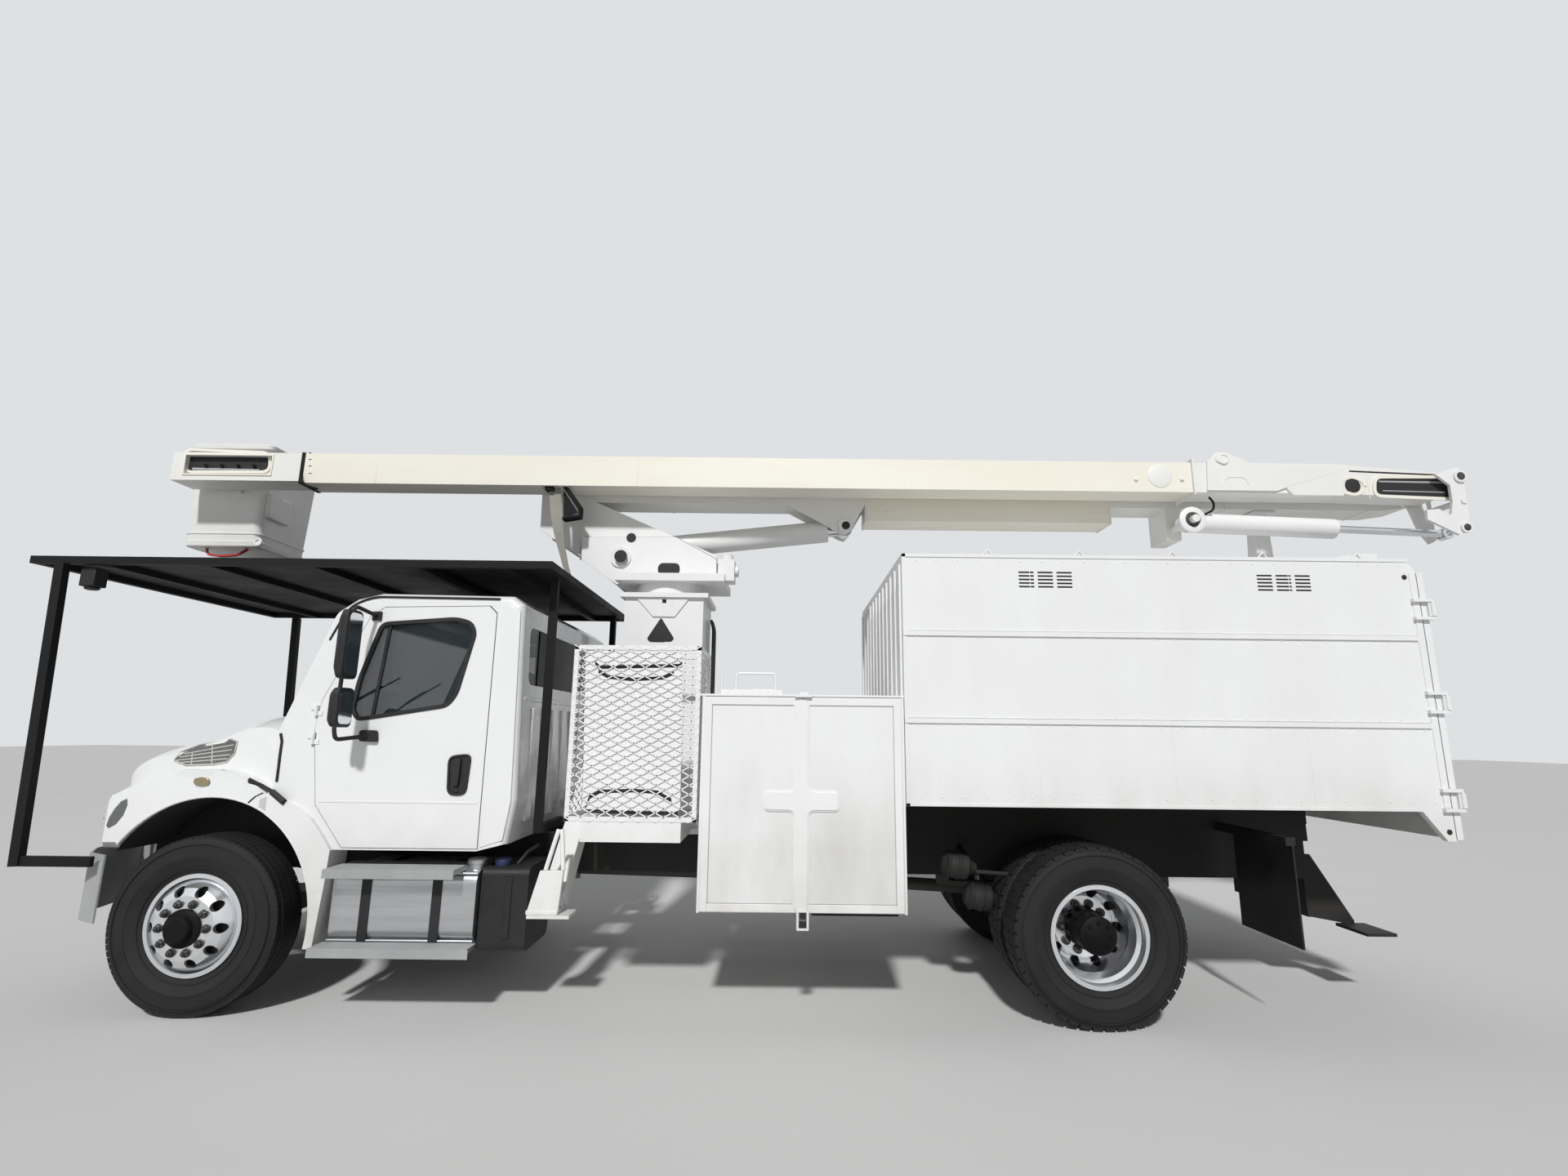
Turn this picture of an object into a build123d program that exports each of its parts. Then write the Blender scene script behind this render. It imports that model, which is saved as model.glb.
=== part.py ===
from build123d import *
import math
import os

# Cherry picker truck: a forestry bucket truck with a closed chip body.
# Millimetres. +Z is up, the cab faces -X, and the driver's side is -Y.
# Lengths along the truck are stations, counted rearwards from the front axle.

# Overall reach and running gear
FRONT_REACH = 1450          # bucket's front, ahead of the front axle
REAR_REACH = 8980           # boom yoke's rear edge, behind the front axle
WHEELBASE = 5520
TYRE_RADIUS = 520
TYRE_WIDTH = 276
SEAT_RADIUS = 286           # where the bead sits on the rim
FLANGE_RADIUS = 298
RIM_WIDTH = 210             # between the flanges
FRONT_TYRE_Y = 1040
OUTER_TYRE_Y = 1080
INNER_TYRE_Y = 740
DISC_OUTSET = 168           # wheel disc's mounting face, off the tyre's middle
KINGPIN_Y = 870
FIT = 0.3                   # clearance between pieces that seat on each other
RUNNING = 6                 # clearance between pieces that move past each other

# Frame
RAIL_Y = 432                # outer face of each rail
RAIL_FLANGE = 80
RAIL_WEB = 9
RAIL_BOTTOM = 735
RAIL_TOP = 990
RAIL_FRONT = -880
RAIL_REAR = 7300
SPRING_Y = 390
SPRING_WIDTH = 76

# Cab
CAB_HALF = 1130             # half width outside
CAB_WALL = 45
CAB_FLOOR = 965
CAB_LINING = 1050           # top of the cab's floor inside
CAB_ROOF = 2600
DOOR_THICK = 50
DOOR_GAP = 5
HOOD_SKIN = 14
HOOD_HALF = 1150
ARCH = (700, 757)           # half length and height of the wheel arch's ellipse

# Chip body
BODY_HALF = 1220
BODY_FRONT = 4360
BODY_FLOOR = 1274
BODY_ROOF = 2885
BODY_WALL = 40
BARN_THICK = 40
BARN_HINGE = (7805, 1240)   # station and distance from the middle of the door hinges

# Pedestal and turret
SWING_STATION = 2655
PEDESTAL_HALF = 305
PEDESTAL_WALL = 16
PEDESTAL_TOP = 2770
RING_RADIUS = 275
TURRET_BASE = 2868
RING_TOP = TURRET_BASE - FIT
BASE_PLATE = 60

# Booms
BOOM_PIVOT = (1650, 3800)   # lower boom's foot pin
ELBOW = (8770, 3720)        # pin between the two booms
LOWER_Y = (20, 300)
LOWER_BOTTOM = 3605
LOWER_TOP = 3930
COVER_BOTTOM = 3470
UPPER_Y = (-322, -78)
UPPER_BOTTOM = 3636
UPPER_TOP = 3886
UPPER_TIP = -1350
LEVEL_PIN = (-1080, 3770)   # the bucket hangs on this pin
PIN_RADIUS = 30
SHAFT_RADIUS = 40           # elbow shaft
LIFT_BASE = (2357, 3226)    # lift cylinder's foot pin
LIFT_EYE = (4096, 3421)     # lift cylinder's eye on the lower boom
LIFT_Y = 140
LIFT_BORE = 92              # barrel's outer radius
FOLD_BASE = (6852, 3421)    # levelling cylinder's trunnion
FOLD_EYE = (8934, 3349)     # levelling cylinder's eye on the yoke
FOLD_Y = -190
FOLD_BORE = 80

FRONT_AXLE_X = (FRONT_REACH - REAR_REACH) / 2

os.makedirs("parts", exist_ok=True)


def sx(station):
    """X of a station behind the front axle."""
    return FRONT_AXLE_X + station


def slab(outline, y_low, y_high, mode=Mode.ADD):
    """A side outline of (station, height) points, between two planes across the truck."""
    with BuildSketch(Plane.XZ.offset(-y_high)) as side:
        with BuildLine():
            Polyline(*[(sx(x), z) for x, z in outline], close=True)
        make_face()
    extrude(side.sketch, amount=y_high - y_low, mode=mode)


def brick(x_span, y_span, z_span, mode=Mode.ADD):
    """A straight block between two stations, two sides and two heights."""
    with Locations((sx(x_span[0]), y_span[0], z_span[0])):
        Box(x_span[1] - x_span[0], y_span[1] - y_span[0], z_span[1] - z_span[0],
            align=(Align.MIN, Align.MIN, Align.MIN), mode=mode)


def tube_across(centre, radius, y_span, mode=Mode.ADD):
    """A round bar across the truck at a (station, height) point."""
    with BuildSketch(Plane.XZ.offset(-y_span[1])) as disc:
        with Locations((sx(centre[0]), centre[1])):
            Circle(radius)
    extrude(disc.sketch, amount=y_span[1] - y_span[0], mode=mode)


def tube_between(start, end, radius, y, mode=Mode.ADD, bore=0):
    """A round bar between two (station, height) points in one plane along the truck."""
    a = Vector(sx(start[0]), y, start[1])
    b = Vector(sx(end[0]), y, end[1])
    with BuildSketch(Plane(origin=a, z_dir=b - a)) as disc:
        Circle(radius)
        if bore:
            Circle(bore, mode=Mode.SUBTRACT)
    extrude(disc.sketch, amount=(b - a).length, mode=mode)


def bar(start, end, width, depth, mode=Mode.ADD):
    """A square bar between two (station, y, height) points."""
    a = Vector(sx(start[0]), start[1], start[2])
    b = Vector(sx(end[0]), end[1], end[2])
    with BuildSketch(Plane(origin=a, x_dir=(0, 1, 0), z_dir=b - a)) as section:
        Rectangle(width, depth)
    extrude(section.sketch, amount=(b - a).length, mode=mode)


def arch_cut(y_span, grow=0):
    """Cuts the front wheel's arch, an ellipse about the axle, between two sides."""
    with BuildSketch(Plane.XZ.offset(-y_span[1])) as arch:
        with Locations((sx(0), TYRE_RADIUS)):
            Ellipse(ARCH[0] + grow, ARCH[1] + grow)
    extrude(arch.sketch, amount=y_span[1] - y_span[0], mode=Mode.SUBTRACT)


def rounded_bar(x_span, y_span, z_span, radius, mode=Mode.ADD):
    """A bar along the truck with rounded long edges."""
    with BuildSketch(Plane.YZ.offset(sx(x_span[0]))) as section:
        with Locations(((y_span[0] + y_span[1]) / 2, (z_span[0] + z_span[1]) / 2)):
            RectangleRounded(y_span[1] - y_span[0], z_span[1] - z_span[0], radius)
    extrude(section.sketch, amount=x_span[1] - x_span[0], mode=mode)


def between(start, end, share):
    """A (station, height) point part of the way from one point to another."""
    return tuple(s + (e - s) * share for s, e in zip(start, end))


def along(start, end, distance):
    """A (station, height) point a set distance from start towards end."""
    return between(start, end, distance / math.dist(start, end))


def keep(part, name):
    """Labels a finished piece and writes it."""
    part.label = name
    export_step(part, f"parts/{name}.step")


# Side sign and name of each side
SIDES = [(-1, "left"), (1, "right")]


def span(side, inner, outer):
    """A span across the truck on one side, lowest y first."""
    return tuple(sorted((side * inner, side * outer)))


# Tyres: section as (radius, distance from the tyre's middle), half of it
BEAD_HALF = RIM_WIDTH / 2 - 1
TYRE_SECTION = [
    (SEAT_RADIUS + FIT, BEAD_HALF), (FLANGE_RADIUS + 8, BEAD_HALF),
    (392, TYRE_WIDTH / 2), (468, TYRE_WIDTH / 2 - 6),
    (506, 116), (517, 96), (TYRE_RADIUS, 60),
]


def tyre(station, y):
    """One tyre, turned about its axle."""
    centre = (sx(station), TYRE_RADIUS)
    half = [(r, d) for r, d in TYRE_SECTION]
    ring = half + [(r, -d) for r, d in reversed(half)]
    with BuildSketch(Plane.YZ.offset(centre[0])) as section:
        with BuildLine():
            Polyline(*[(y + d, centre[1] + r) for r, d in ring], close=True)
        make_face()
    revolve(section.sketch, axis=Axis((centre[0], 0, centre[1]), (0, 1, 0)))


# Wheel rim: section as (radius, distance outwards from the tyre's middle)
RIM_SECTION = [
    (FLANGE_RADIUS, RIM_WIDTH / 2), (FLANGE_RADIUS, RIM_WIDTH / 2 + 10),
    (SEAT_RADIUS - 12, RIM_WIDTH / 2 + 12), (SEAT_RADIUS - 14, 60), (252, 40),
    (240, -40), (SEAT_RADIUS - 14, -66), (SEAT_RADIUS - 12, -RIM_WIDTH / 2 - 12),
    (FLANGE_RADIUS, -RIM_WIDTH / 2 - 10), (FLANGE_RADIUS, -RIM_WIDTH / 2),
    (SEAT_RADIUS, -RIM_WIDTH / 2), (SEAT_RADIUS, -60), (256, -40),
    (264, 40), (SEAT_RADIUS, 62), (SEAT_RADIUS, RIM_WIDTH / 2),
]
# Wheel disc: from the barrel to the mounting face
DISC_SECTION = [
    (262, 66), (246, 96), (210, DISC_OUTSET - 14), (176, DISC_OUTSET),
    (70, DISC_OUTSET), (70, DISC_OUTSET + 20), (184, DISC_OUTSET + 20),
    (226, DISC_OUTSET - 4), (264, 104), (272, 80),
]
HAND_HOLES = 10
HAND_HOLE_RADIUS = 30
HAND_HOLE_CIRCLE = 212


def turned(station, y, side, section, mode=Mode.ADD):
    """A ring turned about a wheel's axis; distances run outwards from y."""
    centre = (sx(station), TYRE_RADIUS)
    with BuildSketch(Plane.YZ.offset(centre[0])) as cut:
        with BuildLine():
            Polyline(*[(y + side * d, centre[1] + r) for r, d in section], close=True)
        make_face()
    revolve(cut.sketch, axis=Axis((centre[0], 0, centre[1]), (0, 1, 0)), mode=mode)


def rim(station, y, side, outset):
    """One wheel with its disc outset to side (1 or -1 times the side)."""
    turned(station, y, side, RIM_SECTION)
    turned(station, y, side * outset, DISC_SECTION)
    low, high = sorted((y + side * outset * 110, y + side * outset * (DISC_OUTSET + 30)))
    with BuildSketch(Plane.XZ.offset(-high)) as holes:
        with Locations((sx(station), TYRE_RADIUS)):
            with PolarLocations(HAND_HOLE_CIRCLE, HAND_HOLES):
                Circle(HAND_HOLE_RADIUS)
    extrude(holes.sketch, amount=high - low, mode=Mode.SUBTRACT)


# Hub sections: (radius, distance outwards from the truck's middle)
FRONT_DISC_Y = FRONT_TYRE_Y + DISC_OUTSET
FRONT_DRUM = (940, 1100)
SPINDLE_RADIUS = 44
FRONT_HUB_SECTION = [
    (SPINDLE_RADIUS + 1, FRONT_DRUM[0]), (SPINDLE_RADIUS + 1, 1150), (0, 1150),
    (0, FRONT_DISC_Y + 62), (66, FRONT_DISC_Y + 58), (76, FRONT_DISC_Y + 20 + FIT),
    (110, FRONT_DISC_Y + 20 + FIT), (110, FRONT_DISC_Y + 12), (69, FRONT_DISC_Y + 12),
    (69, FRONT_DISC_Y - FIT), (150, FRONT_DISC_Y - FIT), (150, FRONT_DISC_Y - 14),
    (86, FRONT_DISC_Y - 20), (86, FRONT_DRUM[1]), (208, FRONT_DRUM[1]),
    (208, FRONT_DRUM[0]), (192, FRONT_DRUM[0]), (192, FRONT_DRUM[1] - 14),
    (80, FRONT_DRUM[1] - 14), (80, FRONT_DRUM[0]),
]
REAR_DISC_Y = OUTER_TYRE_Y - DISC_OUTSET
REAR_DRUM = (640, 850)
AXLE_END_RADIUS = 58
REAR_HUB_SECTION = [
    (AXLE_END_RADIUS + 1, REAR_DRUM[0]), (AXLE_END_RADIUS + 1, 1040), (0, 1040),
    (0, 1176), (88, 1176), (96, 1168), (96, 1130), (69, 1110),
    (69, REAR_DISC_Y - 20), (150, REAR_DISC_Y - 20), (150, REAR_DRUM[1]),
    (210, REAR_DRUM[1]), (210, REAR_DRUM[0]), (194, REAR_DRUM[0]),
    (194, REAR_DRUM[1] - 16), (96, REAR_DRUM[1] - 16), (96, REAR_DRUM[0]),
]
NUTS = 10
NUT_CIRCLE = 142.9
NUT_RADIUS = 19


def nuts(station, y_span):
    """The ring of wheel nuts between two planes."""
    with BuildSketch(Plane.XZ.offset(-y_span[1])) as ring:
        with Locations((sx(station), TYRE_RADIUS)):
            with PolarLocations(NUT_CIRCLE, NUTS):
                RegularPolygon(NUT_RADIUS, 6)
    extrude(ring.sketch, amount=y_span[1] - y_span[0])


for side, name in SIDES:
    with BuildPart() as front_tyre:
        tyre(0, side * FRONT_TYRE_Y)
    keep(front_tyre.part, f"tyre_front_{name}")

    with BuildPart() as rear_tyres:
        tyre(WHEELBASE, side * OUTER_TYRE_Y)
        tyre(WHEELBASE, side * INNER_TYRE_Y)
    keep(rear_tyres.part, f"tyres_rear_{name}")

    with BuildPart() as front_rim:
        rim(0, side * FRONT_TYRE_Y, side, 1)
        turned(0, 0, side, FRONT_HUB_SECTION)
        nuts(0, span(side, FRONT_DISC_Y - 10, FRONT_DISC_Y + 42))
    keep(front_rim.part, f"rim_front_{name}")

    with BuildPart() as rear_rims:
        rim(WHEELBASE, side * OUTER_TYRE_Y, side, -1)
        rim(WHEELBASE, side * INNER_TYRE_Y, side, 1)
        turned(WHEELBASE, 0, side, REAR_HUB_SECTION)
        nuts(WHEELBASE, span(side, REAR_DISC_Y - 30, REAR_DISC_Y + 26))
    keep(rear_rims.part, f"rims_rear_{name}")

# Front axle: a dropped I-beam with a kingpin eye at each end
EYE_RADIUS = 46
EYE_HEIGHT = (470, 570)
KINGPIN_RADIUS = 20
BEAM_TOP = 500
AXLE_TUBE_RADIUS = 76
with BuildPart() as axles:
    with BuildSketch(Plane.YZ.offset(sx(-45))) as beam:
        with BuildLine():
            Polyline((-KINGPIN_Y, 570), (-KINGPIN_Y, 470), (-800, 470), (-600, 395),
                     (600, 395), (800, 470), (KINGPIN_Y, 470), (KINGPIN_Y, 570),
                     (760, 570), (600, BEAM_TOP), (-600, BEAM_TOP), (-760, 570), close=True)
        make_face()
    extrude(beam.sketch, amount=90)
    for side, name in SIDES:
        with Locations((sx(0), side * KINGPIN_Y, EYE_HEIGHT[0])):
            Cylinder(EYE_RADIUS, EYE_HEIGHT[1] - EYE_HEIGHT[0],
                     align=(Align.CENTER, Align.CENTER, Align.MIN))
            Cylinder(KINGPIN_RADIUS + 0.5, EYE_HEIGHT[1] - EYE_HEIGHT[0],
                     align=(Align.CENTER, Align.CENTER, Align.MIN), mode=Mode.SUBTRACT)
        brick((-130, 130), span(side, SPRING_Y - 50, SPRING_Y + 50), (BEAM_TOP - 20, 560))
    # rear axle: tube, differential and brake flanges
    tube_across((WHEELBASE, TYRE_RADIUS), AXLE_TUBE_RADIUS, (-620, 620))
    tube_across((WHEELBASE, TYRE_RADIUS), AXLE_END_RADIUS, (-1030, 1030))
    with Locations((sx(WHEELBASE), 0, TYRE_RADIUS)):
        Sphere(210)
    tube_between((WHEELBASE - 330, TYRE_RADIUS + 20), (WHEELBASE, TYRE_RADIUS), 90, 0)
    for side, name in SIDES:
        tube_across((WHEELBASE, TYRE_RADIUS), 190, span(side, 618, 630))
        brick((WHEELBASE - 140, WHEELBASE + 140), span(side, SPRING_Y - 50, SPRING_Y + 50),
              (TYRE_RADIUS, 600))
keep(axles.part, "axles")

# Leaf springs: (station of the axle, half length, underside at the axle, thickness there)
SPRING_PACKS = [(0, 720, 560, 56), (WHEELBASE, 780, 600, 80)]
LEAF = 26
with BuildPart() as leaf_springs:
    for station, half, low, thick in SPRING_PACKS:
        for side, name in SIDES:
            y_span = span(side, SPRING_Y - SPRING_WIDTH / 2, SPRING_Y + SPRING_WIDTH / 2)
            ends = RAIL_BOTTOM - 40
            slab([(station - 150, low), (station + 150, low), (station + half, ends - LEAF),
                  (station + half, ends), (station + 150, low + thick),
                  (station - 150, low + thick), (station - half, ends),
                  (station - half, ends - LEAF)], *y_span)
            for end in (-half, half):
                brick((station + end - 40, station + end + 40), y_span, (ends - LEAF, RAIL_BOTTOM))
keep(leaf_springs.part, "leaf_springs")

# Knuckles: two ears round the axle eye, a kingpin, a shield and the spindle
for side, name in SIDES:
    with BuildPart() as knuckle:
        for low in (EYE_HEIGHT[0] - RUNNING - 30, EYE_HEIGHT[1] + RUNNING):
            brick((-50, 50), span(side, KINGPIN_Y - 50, 936), (low, low + 30))
        with Locations((sx(0), side * KINGPIN_Y, EYE_HEIGHT[0] - 36)):
            Cylinder(KINGPIN_RADIUS, EYE_HEIGHT[1] - EYE_HEIGHT[0] + 72,
                     align=(Align.CENTER, Align.CENTER, Align.MIN))
        tube_across((0, TYRE_RADIUS), 178, span(side, 923, 932))
        tube_across((0, TYRE_RADIUS), SPINDLE_RADIUS, span(side, 923, 1146))
        bar((0, side * 905, 440), (230, side * 800, 430), 46, 24)
    keep(knuckle.part, f"knuckle_{name}")

# Frame rails, C-sections open inwards, with their crossmembers
CROSSMEMBERS = [-700, 1200, 3600, 4900, 6300, RAIL_REAR - 60]
with BuildPart() as frame_rails:
    for side, name in SIDES:
        brick((RAIL_FRONT, RAIL_REAR), span(side, RAIL_Y - RAIL_FLANGE, RAIL_Y),
              (RAIL_BOTTOM, RAIL_TOP))
        brick((RAIL_FRONT, RAIL_REAR), span(side, RAIL_Y - RAIL_FLANGE, RAIL_Y - RAIL_WEB),
              (RAIL_BOTTOM + RAIL_WEB, RAIL_TOP - RAIL_WEB), mode=Mode.SUBTRACT)
    for station in CROSSMEMBERS:
        brick((station, station + 60), (RAIL_WEB - RAIL_Y, RAIL_Y - RAIL_WEB),
              (RAIL_BOTTOM + 30, RAIL_TOP - 30))
keep(frame_rails.part, "frame_rails")

# Engine with its gearbox, one heavy block between the rails
with BuildPart() as engine_block:
    brick((-600, 330), (-290, 290), (RAIL_BOTTOM + 30, 1330))
    brick((330, 1180), (-170, 170), (RAIL_BOTTOM + 30, 940))
    for side, name in SIDES:
        brick((-220, -100), span(side, 280, RAIL_Y - RAIL_WEB), (790, 850))
keep(engine_block.part, "engine_block")

# Front bumper, bent round both corners
BUMPER_HEIGHT = (528, 925)
BUMPER_SKIN = 10
BUMPER_PLAN = [(-590, 1178), (-760, 1090), (-900, 900), (-980, 560), (-1000, 0)]
with BuildPart() as front_bumper:
    outer = [(x, -y) for x, y in BUMPER_PLAN] + [(x, y) for x, y in BUMPER_PLAN[-2::-1]]
    with BuildSketch(Plane.XY.offset(BUMPER_HEIGHT[0])) as plan:
        with BuildLine() as line:
            Polyline(*[(sx(x), y) for x, y in outer])
            offset(amount=BUMPER_SKIN, side=Side.RIGHT, kind=Kind.INTERSECTION)
        make_face()
    extrude(plan.sketch, amount=BUMPER_HEIGHT[1] - BUMPER_HEIGHT[0])
    for side, name in SIDES:
        brick((-992, RAIL_FRONT), span(side, RAIL_Y - RAIL_FLANGE, RAIL_Y),
              (RAIL_BOTTOM, 915))
keep(front_bumper.part, "front_bumper")

# Hood: a tilting moulding with its fenders, lofted from cross sections
# columns: station, half width, side height, top height
HOOD_SECTIONS = [
    (-930, 690, 1255, 1335),
    (-850, 755, 1410, 1480),
    (-660, 820, 1500, 1580),
    (-150, 925, 1630, 1735),
    (340, 985, 1655, 1760),
]
HOOD_BOTTOM = 960
HOOD_FRONT = HOOD_SECTIONS[0][0]
HOOD_REAR = HOOD_SECTIONS[-1][0]
FENDER_INNER = 700
FENDER_EDGE = 50            # width of the rounded outer edge
# top of the fender in side view, from the front corner to the hood's rear edge
FENDER_SIDE = [
    (-900, HOOD_BOTTOM), (-900, 1190), (-654, 1285), (-469, 1385), (-274, 1436), (-19, 1440),
    (142, 1395), (264, 1325), (HOOD_REAR, 1290), (HOOD_REAR, HOOD_BOTTOM),
]
# the lamps sit on a slanting face across each front corner: (station, distance from the middle)
CORNER = [(-905, 690), (-645, HOOD_HALF)]


def hood_section(station, half, shoulder, top, skin=0):
    """Cross section of the hood at one station, drawn in by a skin."""
    with BuildSketch(Plane.YZ.offset(sx(station))) as section:
        with BuildLine():
            brow = top - (top - shoulder) * 0.28 - skin
            flank = brow - (top - shoulder) * 0.2
            Line((skin - half, HOOD_BOTTOM), (skin - half, shoulder - skin))
            ThreePointArc((skin - half, shoulder - skin), (-half * 0.88, flank),
                          (-half * 0.62, brow))
            ThreePointArc((-half * 0.62, brow), (0, top - skin), (half * 0.62, brow))
            ThreePointArc((half * 0.62, brow), (half * 0.88, flank), (half - skin, shoulder - skin))
            Polyline((half - skin, shoulder - skin), (half - skin, HOOD_BOTTOM),
                     (skin - half, HOOD_BOTTOM))
        make_face()
    return section.sketch


with BuildPart() as hood:
    loft([hood_section(*row) for row in HOOD_SECTIONS])
    # fenders: crescents over the front wheels with a rounded outer edge
    for side, name in SIDES:
        flat = HOOD_HALF - FENDER_EDGE
        slab(FENDER_SIDE, *span(side, FENDER_INNER, flat))
        with BuildSketch(Plane.XZ.offset(-side * flat)) as edge:
            with BuildLine():
                Polyline(*[(sx(x), z) for x, z in FENDER_SIDE], close=True)
            make_face()
        extrude(edge.sketch, amount=-side * FENDER_EDGE, taper=38)
        with BuildSketch(Plane.XY.offset(HOOD_BOTTOM - 10)) as corner:
            with BuildLine():
                Polyline(*[(sx(x), side * y) for x, y in
                           (CORNER[0], CORNER[1], (CORNER[1][0], HOOD_HALF + 50),
                            (-1100, HOOD_HALF + 50), (-1100, CORNER[0][1]))], close=True)
            make_face()
        extrude(corner.sketch, amount=600, mode=Mode.SUBTRACT)
        arch_cut(span(side, FENDER_INNER - 10, HOOD_HALF + 20))
    # hollow behind the front skin, open to the engine
    first = HOOD_SECTIONS[0]
    inner = [(first[0] + HOOD_SKIN,) + first[1:]] + HOOD_SECTIONS[1:]
    loft([hood_section(*row, skin=HOOD_SKIN) for row in inner], mode=Mode.SUBTRACT)
    # nothing reaches behind the hood's rear edge
    brick((HOOD_REAR, HOOD_REAR + 400), (-1300, 1300), (900, 1900), mode=Mode.SUBTRACT)
keep(hood.part, "hood")

# Grille bars and headlamps, on the front of the hood
GRILLE_BARS = 6
GRILLE_PITCH = 40
GRILLE_FACE = HOOD_FRONT - 20
LAMP_DEPTH = 24
with BuildPart() as grille_and_lamps:
    brick((GRILLE_FACE, HOOD_FRONT - FIT), (-470, 470), (985, 1240))
    for i in range(GRILLE_BARS):
        z = 1000 + i * GRILLE_PITCH
        brick((GRILLE_FACE - 10, GRILLE_FACE), (-440, 440), (z, z + GRILLE_PITCH / 2))
    for side, name in SIDES:
        (x_a, y_a), (x_b, y_b) = CORNER
        length = math.dist(*CORNER)
        out = ((y_a - y_b) / length, (x_b - x_a) / length)
        corners = []
        for share, depth in ((0.06, FIT), (0.9, FIT), (0.86, LAMP_DEPTH), (0.1, LAMP_DEPTH)):
            x, y = between(CORNER[0], CORNER[1], share)
            corners.append((sx(x + out[0] * depth), side * (y + out[1] * depth)))
        with BuildSketch(Plane.XY.offset(1065)) as lamp:
            with BuildLine():
                Polyline(*corners, close=True)
            make_face()
        extrude(lamp.sketch, amount=165)
keep(grille_and_lamps.part, "grille_and_lamps")

# Cab shell: a hollow box with rounded top, a floor, door openings and windows
# side outline as (station, height), from the front low corner round the roof
CAB_SIDE = [
    (600, CAB_FLOOR), (360, 1240), (350, 1700), (640, 2490), (740, 2560), (900, CAB_ROOF),
    (1780, 2590), (1860, 2530), (1900, 1270), (1860, 1010), (1680, CAB_FLOOR),
]
DOOR_OUTLINE = [
    (836, 975), (640, 1230), (575, 1700), (600, 1890), (850, 2440), (940, 2505),
    (1640, 2520), (1690, 2470), (1690, 975),
]
WINDOW_OUTLINE = [
    (843, 1761), (797, 1833), (826, 2033), (933, 2394), (1426, 2433), (1526, 2406),
    (1560, 2336), (1474, 1935), (1418, 1856),
]
WINDOW_ROUND = 60


def inset_outline(outline, amount):
    """Points drawn in towards the outline's middle by about amount."""
    middle = [sum(p[i] for p in outline) / len(outline) for i in (0, 1)]
    return [tuple(c - amount * (1 if c > m else -1) for c, m in zip(p, middle))
            for p in outline]


def window_block(y_span, gap=0, mode=Mode.ADD):
    """The side window's rounded outline, drawn in by a gap, as a block between two sides."""
    with BuildSketch(Plane.XZ.offset(-y_span[1])) as pane:
        with BuildLine():
            Polyline(*[(sx(x), z) for x, z in WINDOW_OUTLINE], close=True)
        make_face()
        fillet(pane.vertices(), WINDOW_ROUND)
        if gap:
            offset(amount=-gap, mode=Mode.REPLACE)
    extrude(pane.sketch, amount=y_span[1] - y_span[0], mode=mode)


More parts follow.
